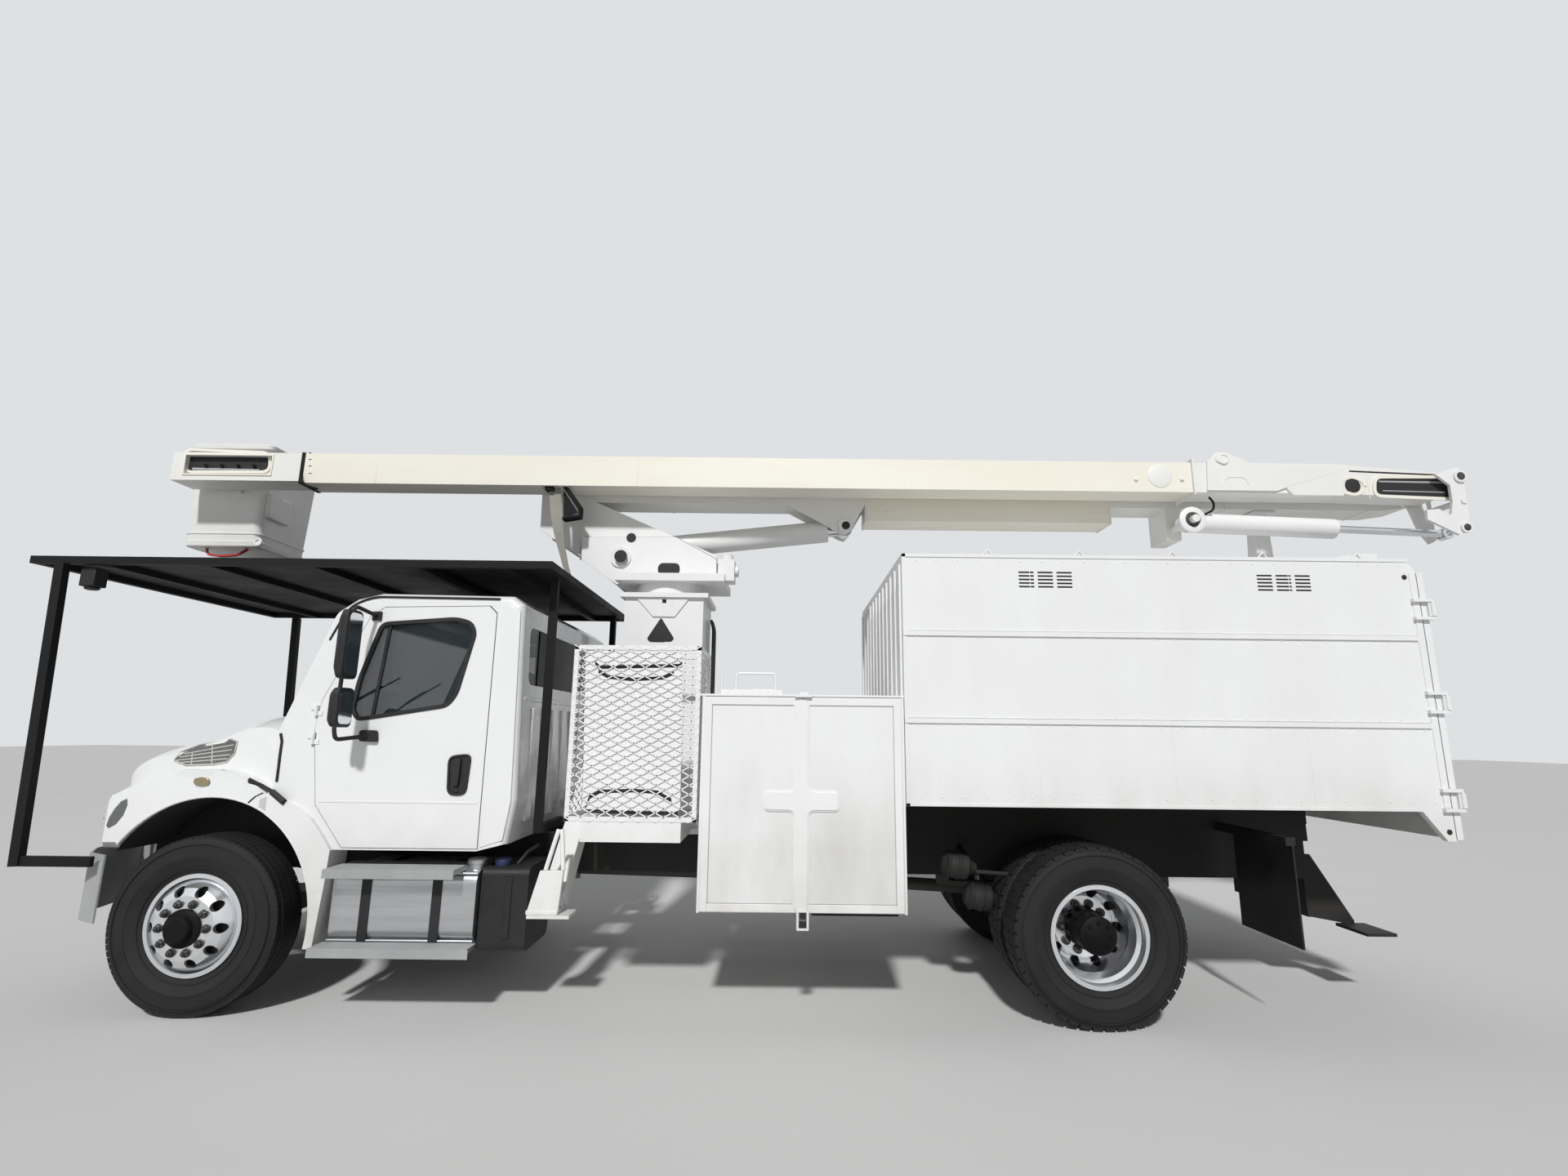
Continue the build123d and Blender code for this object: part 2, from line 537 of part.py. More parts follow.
SCREEN_HALF = 950
SCREEN_Z = (1790, 2440)
BACK_HALF = 980
BACK_Z = (2010, 2400)
DOOR_HINGE = (578, CAB_HALF + 10)   # station and distance from the middle
HINGE_HEIGHTS = (1640, 1820)
HINGE_LENGTH = 34
HINGE_RADIUS = 12
HINGE_PIN = 6
CAB_ROUND = 50              # rounding along the roof's sides
CAB_ROUND_FROM = 2480
with BuildPart() as cab_shell:
    slab(CAB_SIDE, -CAB_HALF, CAB_HALF)
    sides = edges().filter_by(lambda e: abs(abs(e.center().Y) - CAB_HALF) < 1)
    fillet(sides.filter_by(lambda e: e.center().Z > CAB_ROUND_FROM or e.center().X > sx(1850)),
           CAB_ROUND)
    slab(inset_outline(CAB_SIDE, CAB_WALL), CAB_WALL - CAB_HALF, CAB_HALF - CAB_WALL,
         mode=Mode.SUBTRACT)
    for side, name in SIDES:
        slab(DOOR_OUTLINE, *span(side, CAB_HALF - DOOR_THICK - DOOR_GAP, CAB_HALF + 50),
             mode=Mode.SUBTRACT)
    # thicker floor, hollowed below where it straddles the frame
    brick((400, 1850), (45 - CAB_HALF + 15, CAB_HALF - 60), (CAB_FLOOR + 35, CAB_LINING))
    brick((300, 1950), (-450, 450), (CAB_FLOOR - 5, RAIL_TOP), mode=Mode.SUBTRACT)
    # windscreen and rear window
    slab([(300, SCREEN_Z[0]), (300, SCREEN_Z[1]), (720, SCREEN_Z[1]), (560, SCREEN_Z[0])],
         -SCREEN_HALF, SCREEN_HALF, mode=Mode.SUBTRACT)
    rounded_bar((1700, 2000), (-BACK_HALF, BACK_HALF), BACK_Z, WINDOW_ROUND,
                mode=Mode.SUBTRACT)
    # door hinges: a knuckle and pin above a notch for the door's own knuckle
    for side, name in SIDES:
        for z in HINGE_HEIGHTS:
            with Locations((sx(DOOR_HINGE[0]), side * DOOR_HINGE[1], z)):
                Cylinder(HINGE_RADIUS + RUNNING, HINGE_LENGTH + RUNNING,
                         align=(Align.CENTER, Align.CENTER, Align.MAX), mode=Mode.SUBTRACT)
            brick((DOOR_HINGE[0], DOOR_HINGE[0] + 24), span(side, CAB_HALF - 12, CAB_HALF + 1),
                  (z - HINGE_LENGTH - RUNNING, z), mode=Mode.SUBTRACT)
            with Locations((sx(DOOR_HINGE[0]), side * DOOR_HINGE[1], z)):
                Cylinder(HINGE_RADIUS, HINGE_LENGTH,
                         align=(Align.CENTER, Align.CENTER, Align.MIN))
                Cylinder(HINGE_PIN, HINGE_LENGTH,
                         align=(Align.CENTER, Align.CENTER, Align.MAX))
            brick((DOOR_HINGE[0] - 40, DOOR_HINGE[0]), span(side, CAB_HALF - 30, CAB_HALF + 8),
                  (z + 4, z + HINGE_LENGTH - 4))
    # quarter fenders behind the front wheels, from the hood's rear edge down past the cab
    for side, name in SIDES:
        slab([(HOOD_REAR + 12, 1310), (560, 1215), (640, 1155), (725, 1050), (785, CAB_FLOOR),
              (560, CAB_FLOOR), (HOOD_REAR + 12, 1150)], *span(side, CAB_HALF - CAB_WALL, 1160))
        slab([(560, CAB_FLOOR - FIT), (785, CAB_FLOOR - FIT), (775, 760), (745, 394),
              (680, 394), (680, 700)], *span(side, 960, 1160))
        slab([(560, CAB_FLOOR - 1), (785, CAB_FLOOR - 1), (785, CAB_FLOOR), (560, CAB_FLOOR)],
             *span(side, CAB_HALF - CAB_WALL, 1160))
        arch_cut(span(side, 900, 1300))
keep(cab_shell.part, "cab_shell")

GLASS = 6
with BuildPart() as cab_glass:
    slab([(403, SCREEN_Z[0] + FIT), (403 + GLASS, SCREEN_Z[0] + FIT),
          (640 + GLASS, SCREEN_Z[1] - FIT), (640, SCREEN_Z[1] - FIT)],
         FIT - SCREEN_HALF, SCREEN_HALF - FIT)
    rounded_bar((1850, 1850 + GLASS), (FIT - BACK_HALF, BACK_HALF - FIT),
                (BACK_Z[0] + FIT, BACK_Z[1] - FIT), WINDOW_ROUND - FIT)
keep(cab_glass.part, "cab_glass")

MIRROR_Y = (1295, 1465)

# Doors, as thick as the whole door, with the window cut and its pane
for side, name in SIDES:
    with BuildPart() as door:
        slab(inset_outline(DOOR_OUTLINE, DOOR_GAP),
             *span(side, CAB_HALF - DOOR_THICK, CAB_HALF + 4))
        window_block(span(side, CAB_HALF - 100, CAB_HALF + 50), mode=Mode.SUBTRACT)
        for z in HINGE_HEIGHTS:
            with Locations((sx(DOOR_HINGE[0]), side * DOOR_HINGE[1], z)):
                Cylinder(HINGE_RADIUS + RUNNING, HINGE_LENGTH + RUNNING,
                         align=(Align.CENTER, Align.CENTER, Align.MIN), mode=Mode.SUBTRACT)
            brick((DOOR_HINGE[0] + 6, DOOR_HINGE[0] + 40), span(side, CAB_HALF - 6, CAB_HALF + 10),
                  (z - HINGE_LENGTH + 2, z - 2))
            with Locations((sx(DOOR_HINGE[0]), side * DOOR_HINGE[1], z - 1)):
                Cylinder(HINGE_RADIUS, HINGE_LENGTH - 2,
                         align=(Align.CENTER, Align.CENTER, Align.MAX))
                Cylinder(HINGE_PIN + FIT, 2 * HINGE_LENGTH,
                         align=(Align.CENTER, Align.CENTER, Align.MAX), mode=Mode.SUBTRACT)
    keep(door.part, f"door_{name}")

    with BuildPart() as door_glass:
        window_block(span(side, CAB_HALF - 30, CAB_HALF - 30 + GLASS), gap=FIT)
    keep(door_glass.part, f"door_glass_{name}")

    # Mirrors: bowed arm on the door, a tall flat head and a round one below
    with BuildPart() as mirror:
        bar((900, side * (CAB_HALF + 7), 2440), (880, side * 1330, 2430), 26, 26)
        bar((880, side * 1330, 2443), (860, side * 1330, 1640), 26, 26)
        bar((860, side * 1330, 1660), (900, side * (CAB_HALF + 7), 1680), 26, 26)
        rounded_bar((845, 905), span(side, *MIRROR_Y), (2010, 2440), 45)
        rounded_bar((845, 905), span(side, *MIRROR_Y), (1715, 1955), 45)
    keep(mirror.part, f"mirror_{name}")

# Seats, dashboard, steering column and wheel
with BuildPart() as cab_interior:
    for y in (-560, 560):
        brick((1080, 1560), (y - 250, y + 250), (1300, 1420))
        slab([(1460, 1420), (1560, 1420), (1700, 2060), (1610, 2080)], y - 240, y + 240)
        brick((1150, 1500), (y - 180, y + 180), (CAB_LINING, 1300))
    slab([(420, 1460), (420, 1720), (700, 1740), (720, 1520)], 60 + FIT - CAB_HALF,
         CAB_HALF - 60 - FIT)
    tube_between((640, 1570), (880, 1660), 30, -560)
    with BuildSketch(Plane(origin=(sx(890), -560, 1670), z_dir=(180, 0, 160))) as hoop:
        Circle(225)
        Circle(200, mode=Mode.SUBTRACT)
        Rectangle(410, 36)
    extrude(hoop.sketch, amount=24)
keep(cab_interior.part, "cab_interior")

# Fuel tank with its steps, one each side; exhaust fluid tank behind the left one
TANK_Y = (480, 1100)
TANK_Z = (420, 840)
TANK_ROUND = 70
with BuildPart() as fuel_tank:
    for side, name in SIDES:
        rounded_bar((800, 1690), span(side, *TANK_Y), TANK_Z, TANK_ROUND)
        brick((800, 1600), span(side, 900, 1240), (TANK_Z[1], TANK_Z[1] + 25))
        brick((770, 1700), span(side, 900, 1250), (TANK_Z[0] - 35, TANK_Z[0]))
        for station in (960, 1400):
            brick((station, station + 60), span(side, RAIL_Y, TANK_Y[0] + 1), (700, 770))
keep(fuel_tank.part, "fuel_tank")

with BuildPart() as def_tank:
    rounded_bar((1705, 2000), (-1060, -600), (360, 860), 50)
    brick((1760, 1900), (-601, -RAIL_Y), (700, 760))
keep(def_tank.part, "def_tank")

# Cab guard: a flat roof on posts, over the cab and ahead of it
GUARD_TOP = 2812
GUARD_TIP = -1412
GUARD_BACK = 2050
GUARD_HALF = 1200
with BuildPart() as guard_roof:
    brick((GUARD_TIP, GUARD_BACK), (-GUARD_HALF, GUARD_HALF), (GUARD_TOP - 8, GUARD_TOP))
    for side, name in SIDES:
        brick((GUARD_TIP, GUARD_BACK), span(side, GUARD_HALF - 50, GUARD_HALF),
              (GUARD_TOP - 50, GUARD_TOP))
    for station in (GUARD_TIP, -1000, -300, 400, 1100, 1700, GUARD_BACK - 50):
        brick((station, station + 50), (-GUARD_HALF, GUARD_HALF), (GUARD_TOP - 50, GUARD_TOP))
keep(guard_roof.part, "guard_roof")

with BuildPart() as guard_posts:
    for side, name in SIDES:
        y = side * 1200
        bar((-1100, y, 860), (-1190, y, GUARD_TOP - 51.8), 50, 60)
        bar((-1120, y, 890), (-640, y, 890), 30, 60)
keep(guard_posts.part, "guard_posts")

with BuildPart() as guard_struts:
    for side, name in SIDES:
        bar((1985, side * 900, GUARD_TOP - 50 - FIT), (1985, side * 900, 1100), 50, 50)
        brick((1960, 2010), span(side, RAIL_Y, 925), (1050, 1100))
        brick((1960, 2010), span(side, RAIL_Y - 60, RAIL_Y), (RAIL_TOP, 1100))
keep(guard_struts.part, "guard_struts")

# Pedestal: a square box column on the frame, with the fixed half of the swing bearing
with BuildPart() as pedestal:
    station = SWING_STATION
    brick((station - PEDESTAL_HALF, station + PEDESTAL_HALF), (-PEDESTAL_HALF, PEDESTAL_HALF),
          (RAIL_TOP, PEDESTAL_TOP))
    inside = PEDESTAL_HALF - PEDESTAL_WALL
    brick((station - inside, station + inside), (-inside, inside),
          (RAIL_TOP + PEDESTAL_WALL, PEDESTAL_TOP - 36), mode=Mode.SUBTRACT)
    brick((station - 400, station + 400), (-RAIL_Y, RAIL_Y), (RAIL_TOP, RAIL_TOP + 30))
    with Locations((sx(station), 0, PEDESTAL_TOP)):
        Cylinder(RING_RADIUS, RING_TOP - PEDESTAL_TOP,
                 align=(Align.CENTER, Align.CENTER, Align.MIN))
    brick((station - 342, station + 342), (-336, 336), (PEDESTAL_TOP - 35, PEDESTAL_TOP))
    for side, name in SIDES:
        slab([(2435, PEDESTAL_TOP - 35), (2853, PEDESTAL_TOP - 35), (2741, 2585), (2572, 2585)],
             *span(side, PEDESTAL_HALF, PEDESTAL_HALF + 12))
    with BuildSketch(Plane.XZ.offset(-400)) as window:
        with BuildLine():
            Polyline((sx(2529), 2385), (sx(2736), 2385), (sx(2632), 2571), close=True)
        make_face()
        fillet(window.vertices(), 28)
    extrude(window.sketch, amount=800, mode=Mode.SUBTRACT)
    brick((2640, 2672), (-400, 400), (2690, 2722), mode=Mode.SUBTRACT)
keep(pedestal.part, "pedestal")

# Turret: base plate, two cheeks, a knee that carries the lower boom's foot pin
CHEEK = [
    (2000, 3060), (1915, 3115), (1548, 3350), (1540, 3830), (1600, 3880), (1700, 3880),
    (1760, 3800), (1863, 3655), (3024, 3145), (3037, TURRET_BASE), (2230, TURRET_BASE),
]
with BuildPart() as turret:
    brick((2262, 3120), (-330, 349), (TURRET_BASE, TURRET_BASE + BASE_PLATE))
    slab(CHEEK, -20, 14)
    slab(CHEEK, 306, 340)
    brick((1990, 2200), (14, 306), (3080, 3110))
    tube_across(BOOM_PIVOT, PIN_RADIUS, (-20, 340))
    tube_across(LIFT_BASE, 34, (14, 306))
    # near side's thicker plate with its boss, pin hole and slot
    slab([(1907, 3278), (2683, 3290), (3026, 3103), (3030, TURRET_BASE + 20),
          (2217, TURRET_BASE + 20), (1919, 3091)], -56, -20)
    tube_across((2240, 3115), 85, (-72, -56))
    tube_across((2240, 3115), 48, (-80, 14), mode=Mode.SUBTRACT)
    tube_across((2312, 3282), 34, (-80, -20), mode=Mode.SUBTRACT)
    with BuildSketch(Plane.XZ.offset(60)) as slot:
        with Locations((sx(2640), 3030)):
            SlotOverall(175, 80)
    extrude(slot.sketch, amount=-460, mode=Mode.SUBTRACT)
    brick((3060, 3190), (-250, -80), (TURRET_BASE + 20, 3060))
keep(turret.part, "turret")

# Lift cylinder, between the turret's cheeks and the lower boom's clevis
with BuildPart() as lift_barrel:
    tube_across(LIFT_BASE, 70, (LIFT_Y - 60, LIFT_Y + 60))
    tube_between(along(LIFT_BASE, LIFT_EYE, 40), along(LIFT_BASE, LIFT_EYE, 1600),
                 LIFT_BORE, LIFT_Y)
    tube_between(along(LIFT_BASE, LIFT_EYE, 200), along(LIFT_BASE, LIFT_EYE, 1601),
                 51, LIFT_Y, mode=Mode.SUBTRACT)
    tube_across(LIFT_BASE, 34.5, (LIFT_Y - 90, LIFT_Y + 90), mode=Mode.SUBTRACT)
keep(lift_barrel.part, "lift_barrel")

with BuildPart() as lift_rod:
    tube_between(along(LIFT_BASE, LIFT_EYE, 205), LIFT_EYE, 50, LIFT_Y)
    tube_across(LIFT_EYE, 66, (LIFT_Y - 52, LIFT_Y + 52))
    tube_across(LIFT_EYE, 34.5, (LIFT_Y - 90, LIFT_Y + 90), mode=Mode.SUBTRACT)
keep(lift_rod.part, "lift_rod")

# Lower boom: steel foot, fibreglass middle in its deeper cover, steel tip
WALL = 12
with BuildPart() as lower_boom:
    brick((1760, 8640), LOWER_Y, (LOWER_BOTTOM, LOWER_TOP))
    brick((1780, 8600), (LOWER_Y[0] + WALL, LOWER_Y[1] - WALL),
          (LOWER_BOTTOM + WALL, LOWER_TOP - WALL), mode=Mode.SUBTRACT)
    slab([(1600, 3720), (1560, 3800), (1600, 3880), (1760, LOWER_TOP), (1760, LOWER_BOTTOM)],
         LOWER_Y[0], LOWER_Y[1])
    tube_across(BOOM_PIVOT, PIN_RADIUS + 0.5, (0, 320), mode=Mode.SUBTRACT)
    # clevis for the lift cylinder's eye
    clevis = [(3600, LOWER_BOTTOM), (4050, 3360), (4096, 3345), (4150, 3400), (4190, 3480),
              (4260, LOWER_BOTTOM)]
    slab(clevis, LOWER_Y[0], LOWER_Y[0] + 20)
    slab(clevis, LOWER_Y[1] - 60, LOWER_Y[1] - 40)
    # deeper underside of the fibreglass stretch
    brick((4290, 6330), LOWER_Y, (COVER_BOTTOM, LOWER_BOTTOM + 1))
    # elbow head
    slab([(8640, LOWER_TOP), (8860, 3800), (8860, 3640), (8640, LOWER_BOTTOM)], *LOWER_Y)
    tube_across(ELBOW, 62, (-20, LOWER_Y[1]))
    tube_across(ELBOW, SHAFT_RADIUS + 0.5, (-30, 320), mode=Mode.SUBTRACT)
    # trunnion bracket for the levelling cylinder
    brick((6790, 6914), LOWER_Y, (3330, LOWER_BOTTOM))
    tube_across(FOLD_BASE, PIN_RADIUS, (-330, LOWER_Y[0]))
keep(lower_boom.part, "lower_boom")

# Yoke: plates on the elbow pin that carry the upper boom
YOKE_SIDE = [
    (8790, 3600), (8720, 3640), (8700, 3720), (8740, 3800), (8900, 3850), (8950, 3856),
    (REAR_REACH, 3800), (REAR_REACH - 5, 3330), (8920, 3300), (8850, 3400),
]
# outer plate: a hook from the top pin down to the levelling cylinder's eye
YOKE_HOOK = [
    (8758, 3790), (8947, 3852), (REAR_REACH, 3795), (REAR_REACH - 8, 3330), (8878, 3291),
    (8642, 3415), (8649, 3491), (8748, 3501), (8815, 3452), (8837, 3459), (8862, 3560),
    (8862, 3700),
]
YOKE_PINS = [(8950, 3770), (8950, 3570)]
with BuildPart() as yoke:
    slab(YOKE_SIDE, -60, -36)
    tube_across(ELBOW, SHAFT_RADIUS, (UPPER_Y[0] + 20, 310))
    slab(YOKE_HOOK, -380, -356)
    for pin in YOKE_PINS:
        tube_across(pin, 24, (-390, -36))
    tube_across(FOLD_EYE, 36, (-390, -356))
keep(yoke.part, "yoke")

# Levelling cylinder between the lower boom's trunnion and the yoke's foot
with BuildPart() as fold_barrel:
    tube_across(FOLD_BASE, 62, (FOLD_Y - 70, FOLD_Y + 70))
    tube_between(FOLD_BASE, along(FOLD_BASE, FOLD_EYE, 1180), FOLD_BORE, FOLD_Y)
    tube_between(along(FOLD_BASE, FOLD_EYE, 100), along(FOLD_BASE, FOLD_EYE, 1181), 31,
                 FOLD_Y, mode=Mode.SUBTRACT)
    tube_across(FOLD_BASE, PIN_RADIUS + 0.5, (FOLD_Y - 90, FOLD_Y + 90), mode=Mode.SUBTRACT)
keep(fold_barrel.part, "fold_barrel")

with BuildPart() as fold_rod:
    tube_between(along(FOLD_BASE, FOLD_EYE, 630), FOLD_EYE, 30, FOLD_Y)
    tube_across(FOLD_EYE, 48, (FOLD_Y - 40, FOLD_Y + 40))
    tube_across(FOLD_EYE, 26, (FOLD_Y - 60, FOLD_Y + 60), mode=Mode.SUBTRACT)
keep(fold_rod.part, "fold_rod")

# Upper boom: fibreglass beam, steel sleeve with the elbow end, tip fitting
SLEEVE_FRONT = 6850
TIP_REAR = -300
with BuildPart() as upper_boom:
    brick((TIP_REAR, SLEEVE_FRONT), UPPER_Y, (UPPER_BOTTOM, UPPER_TOP))
    brick((TIP_REAR, SLEEVE_FRONT), (UPPER_Y[0] + 14, UPPER_Y[1] - 14),
          (UPPER_BOTTOM + 14, UPPER_TOP - 14), mode=Mode.SUBTRACT)
keep(upper_boom.part, "upper_boom")

with BuildPart() as upper_boom_sleeve:
    brick((SLEEVE_FRONT, 8070), UPPER_Y, (UPPER_BOTTOM, UPPER_TOP))
    slab([(8070, UPPER_BOTTOM), (8070, UPPER_TOP), (8840, 3828), (8890, 3790), (8890, 3655),
          (8845, 3618)], UPPER_Y[0] + 10, UPPER_Y[1] - 2)
    # boss plates where the levelling gear passes through
    for low in (UPPER_Y[0] - 16, UPPER_Y[1]):
        slab([(6960, 3650), (6977, 3890), (7045, 3970), (7131, 3974), (7335, 3872),
              (8018, 3872), (8010, 3812), (7622, 3691), (7516, 3650)], low, low + 16)
    tube_across((7081, 3913), 34, (UPPER_Y[0] - 26, UPPER_Y[1] + 16))
    tube_across(ELBOW, SHAFT_RADIUS + 0.5, (UPPER_Y[0] + 18, 0), mode=Mode.SUBTRACT)
keep(upper_boom_sleeve.part, "upper_boom_sleeve")

with BuildPart() as upper_boom_tip:
    brick((UPPER_TIP, TIP_REAR), UPPER_Y, (UPPER_BOTTOM + 14, UPPER_TOP))
    slab([(-1246, 3700), (-548, 3700), (-548, 3860), (-1246, 3860)], -400, 0,
         mode=Mode.SUBTRACT)
    brick((-1280, -500), (UPPER_Y[0] + 40, UPPER_Y[1] - 40), (3700, 3860))
    tube_across(LEVEL_PIN, 60, (UPPER_Y[1] - 80, UPPER_Y[1]))
    tube_across(LEVEL_PIN, 34.5, (UPPER_Y[1] - 62, UPPER_Y[1] + 1), mode=Mode.SUBTRACT)
keep(upper_boom_tip.part, "upper_boom_tip")

# Bucket: tapered tub beside the upper boom's tip
BUCKET_Z = (3185, 4070)
BUCKET_X = (-FRONT_REACH, -780)
BUCKET_Y = (-30, 650)
BUCKET_WALL = 12
BUCKET_TAPER = 60
with BuildPart() as bucket:
    middle = ((BUCKET_X[0] + BUCKET_X[1]) / 2, (BUCKET_Y[0] + BUCKET_Y[1]) / 2)
    size = (BUCKET_X[1] - BUCKET_X[0], BUCKET_Y[1] - BUCKET_Y[0])
    with BuildSketch(Plane.XY.offset(BUCKET_Z[0])) as foot:
        with Locations((sx(middle[0]), middle[1])):
            RectangleRounded(size[0] - BUCKET_TAPER, size[1] - BUCKET_TAPER, 60)
    with BuildSketch(Plane.XY.offset(BUCKET_Z[1])) as mouth:
        with Locations((sx(middle[0]), middle[1])):
            RectangleRounded(size[0], size[1], 60)
    loft([foot.sketch, mouth.sketch])
    with BuildSketch(Plane.XY.offset(BUCKET_Z[0] + BUCKET_WALL)) as foot_in:
        with Locations((sx(middle[0]), middle[1])):
            RectangleRounded(size[0] - BUCKET_TAPER - 2 * BUCKET_WALL,
                             size[1] - BUCKET_TAPER - 2 * BUCKET_WALL, 50)
    with BuildSketch(Plane.XY.offset(BUCKET_Z[1] + 1)) as mouth_in:
        with Locations((sx(middle[0]), middle[1])):
            RectangleRounded(size[0] - 2 * BUCKET_WALL, size[1] - 2 * BUCKET_WALL, 50)
    loft([foot_in.sketch, mouth_in.sketch], mode=Mode.SUBTRACT)
    # bracket and level pin towards the boom
    brick((-1180, -980), (BUCKET_Y[0] - 14, BUCKET_Y[0] + 30), (3640, 3900))
    tube_across(LEVEL_PIN, 34, (UPPER_Y[1] - 60, BUCKET_Y[0]))
    brick((-1170, -990), (BUCKET_Y[0] + 24, BUCKET_Y[0] + 60), (3640, 3900),
          mode=Mode.SUBTRACT)
keep(bucket.part, "bucket")

# Mesh basket on the left, a tray for ropes and cones
BASKET_X = (2240, 3060)
BASKET_Y = (610, 1218)
STEP_TOP = 1160
BASKET_TOP = 2255
ANGLE = 30                  # leg of the basket's angle frame
with BuildPart() as basket:
    for station in (BASKET_X[0], BASKET_X[1] - ANGLE):
        for y in (-BASKET_Y[1], -BASKET_Y[0] - ANGLE):
            brick((station, station + ANGLE), (y, y + ANGLE), (STEP_TOP, BASKET_TOP))
    for z in (STEP_TOP, BASKET_TOP - ANGLE):
        for y in (-BASKET_Y[1], -BASKET_Y[0] - ANGLE):
            brick(BASKET_X, (y, y + ANGLE), (z, z + ANGLE))
        for station in (BASKET_X[0], BASKET_X[1] - ANGLE):
            brick((station, station + ANGLE), (-BASKET_Y[1], -BASKET_Y[0]), (z, z + ANGLE))
    brick(BASKET_X, (2 - BASKET_Y[1], 6 - BASKET_Y[1]), (STEP_TOP, BASKET_TOP))
    brick(BASKET_X, (-BASKET_Y[1], -BASKET_Y[0]), (STEP_TOP, STEP_TOP + 8))
keep(basket.part, "basket")

# Outriggers: an A of two sleeves over the frame, with a leg sliding in each
LEG_STATION = 2170
LEG_LOW = (1050, 668)       # sleeve mouth: distance from the middle, height
LEG_RISE = 0.9556           # height gained for each step inwards
SLEEVE_INNER = 60           # where the sleeve ends, from the middle
SLEEVE = (130, 140)         # outside, along the truck and across the leg
SLEEVE_WALL = 10
LEG_SIDE_GAP = 0.8          # the leg slides in its sleeve like a rod
PAD_Z = (585, 605)


def leg_point(side, distance):
    """A point on a leg's middle line, a set distance from the truck's middle."""
    return (LEG_STATION, side * distance, LEG_LOW[1] + (LEG_LOW[0] - distance) * LEG_RISE)


with BuildPart() as outrigger_housing:
    for side, name in SIDES:
        bar(leg_point(side, LEG_LOW[0]), leg_point(side, SLEEVE_INNER), SLEEVE[1], SLEEVE[0])
    for side, name in SIDES:
        bar(leg_point(side, LEG_LOW[0] + 10), leg_point(side, SLEEVE_INNER + 70),
            SLEEVE[1] - 2 * SLEEVE_WALL, SLEEVE[0] - 2 * SLEEVE_WALL, mode=Mode.SUBTRACT)
        brick((LEG_STATION - 50, LEG_STATION + 50), span(side, RAIL_Y - 80, RAIL_Y),
              (RAIL_TOP, 1170))
    # step beside the pedestal
    brick((2345, 2965), (-1215, -700), (STEP_TOP - 120, STEP_TOP))
    brick((2300, 2400), (-720, 40 - RAIL_Y), (RAIL_TOP + 30, 1110))
keep(outrigger_housing.part, "outrigger_housing")

for side, name in SIDES:
    with BuildPart() as outrigger_leg:
        bar(leg_point(side, LEG_LOW[0] + 35), leg_point(side, SLEEVE_INNER + 90),
            SLEEVE[1] - 2 * SLEEVE_WALL - 2 * LEG_SIDE_GAP,
            SLEEVE[0] - 2 * SLEEVE_WALL - 2 * LEG_SIDE_GAP)
        brick((2040, 2300), span(side, 1010, 1180), PAD_Z)
        brick((2125, 2215), span(side, 1060, 1120), (600, 660))
    keep(outrigger_leg.part, f"outrigger_leg_{name}")

# Tool boxes between the pedestal and the chip body
BOX_X = (3085, 4345)
BOX_Y = (620, 1190)
BOX_Z = (637, 1940)
BOX_WALL = 20
BOX_DOOR = 26
with BuildPart() as tool_box:
    for side, name in SIDES:
        brick(BOX_X, span(side, *BOX_Y), BOX_Z)
        brick((BOX_X[0] + BOX_WALL, BOX_X[1] - BOX_WALL),
              span(side, BOX_Y[0] + BOX_WALL, BOX_Y[1] + 1),
              (BOX_Z[0] + BOX_WALL, BOX_Z[1] - BOX_WALL), mode=Mode.SUBTRACT)
        for station in (3300, 4000):
            brick((station, station + 80), span(side, RAIL_Y, BOX_Y[0]), (820, 900))
keep(tool_box.part, "tool_box")

BOX_MIDDLE = (BOX_X[0] + BOX_X[1]) / 2
for side, name in SIDES:
    for label, x_span in (("front", (BOX_X[0] + 4, BOX_MIDDLE - 3)),
                          ("rear", (BOX_MIDDLE + 3, BOX_X[1] - 4))):
        with BuildPart() as box_door:
            brick(x_span, span(side, BOX_Y[1] + FIT, BOX_Y[1] + FIT + BOX_DOOR),
                  (BOX_Z[0] + 6, BOX_Z[1] - 6))
        keep(box_door.part, f"box_door_{label}_{name}")

# Subframe under the chip body
with BuildPart() as body_subframe:
    for side, name in SIDES:
        brick((BODY_FRONT, 7360), span(side, RAIL_Y - 80, RAIL_Y), (RAIL_TOP, 1110))
keep(body_subframe.part, "body_subframe")

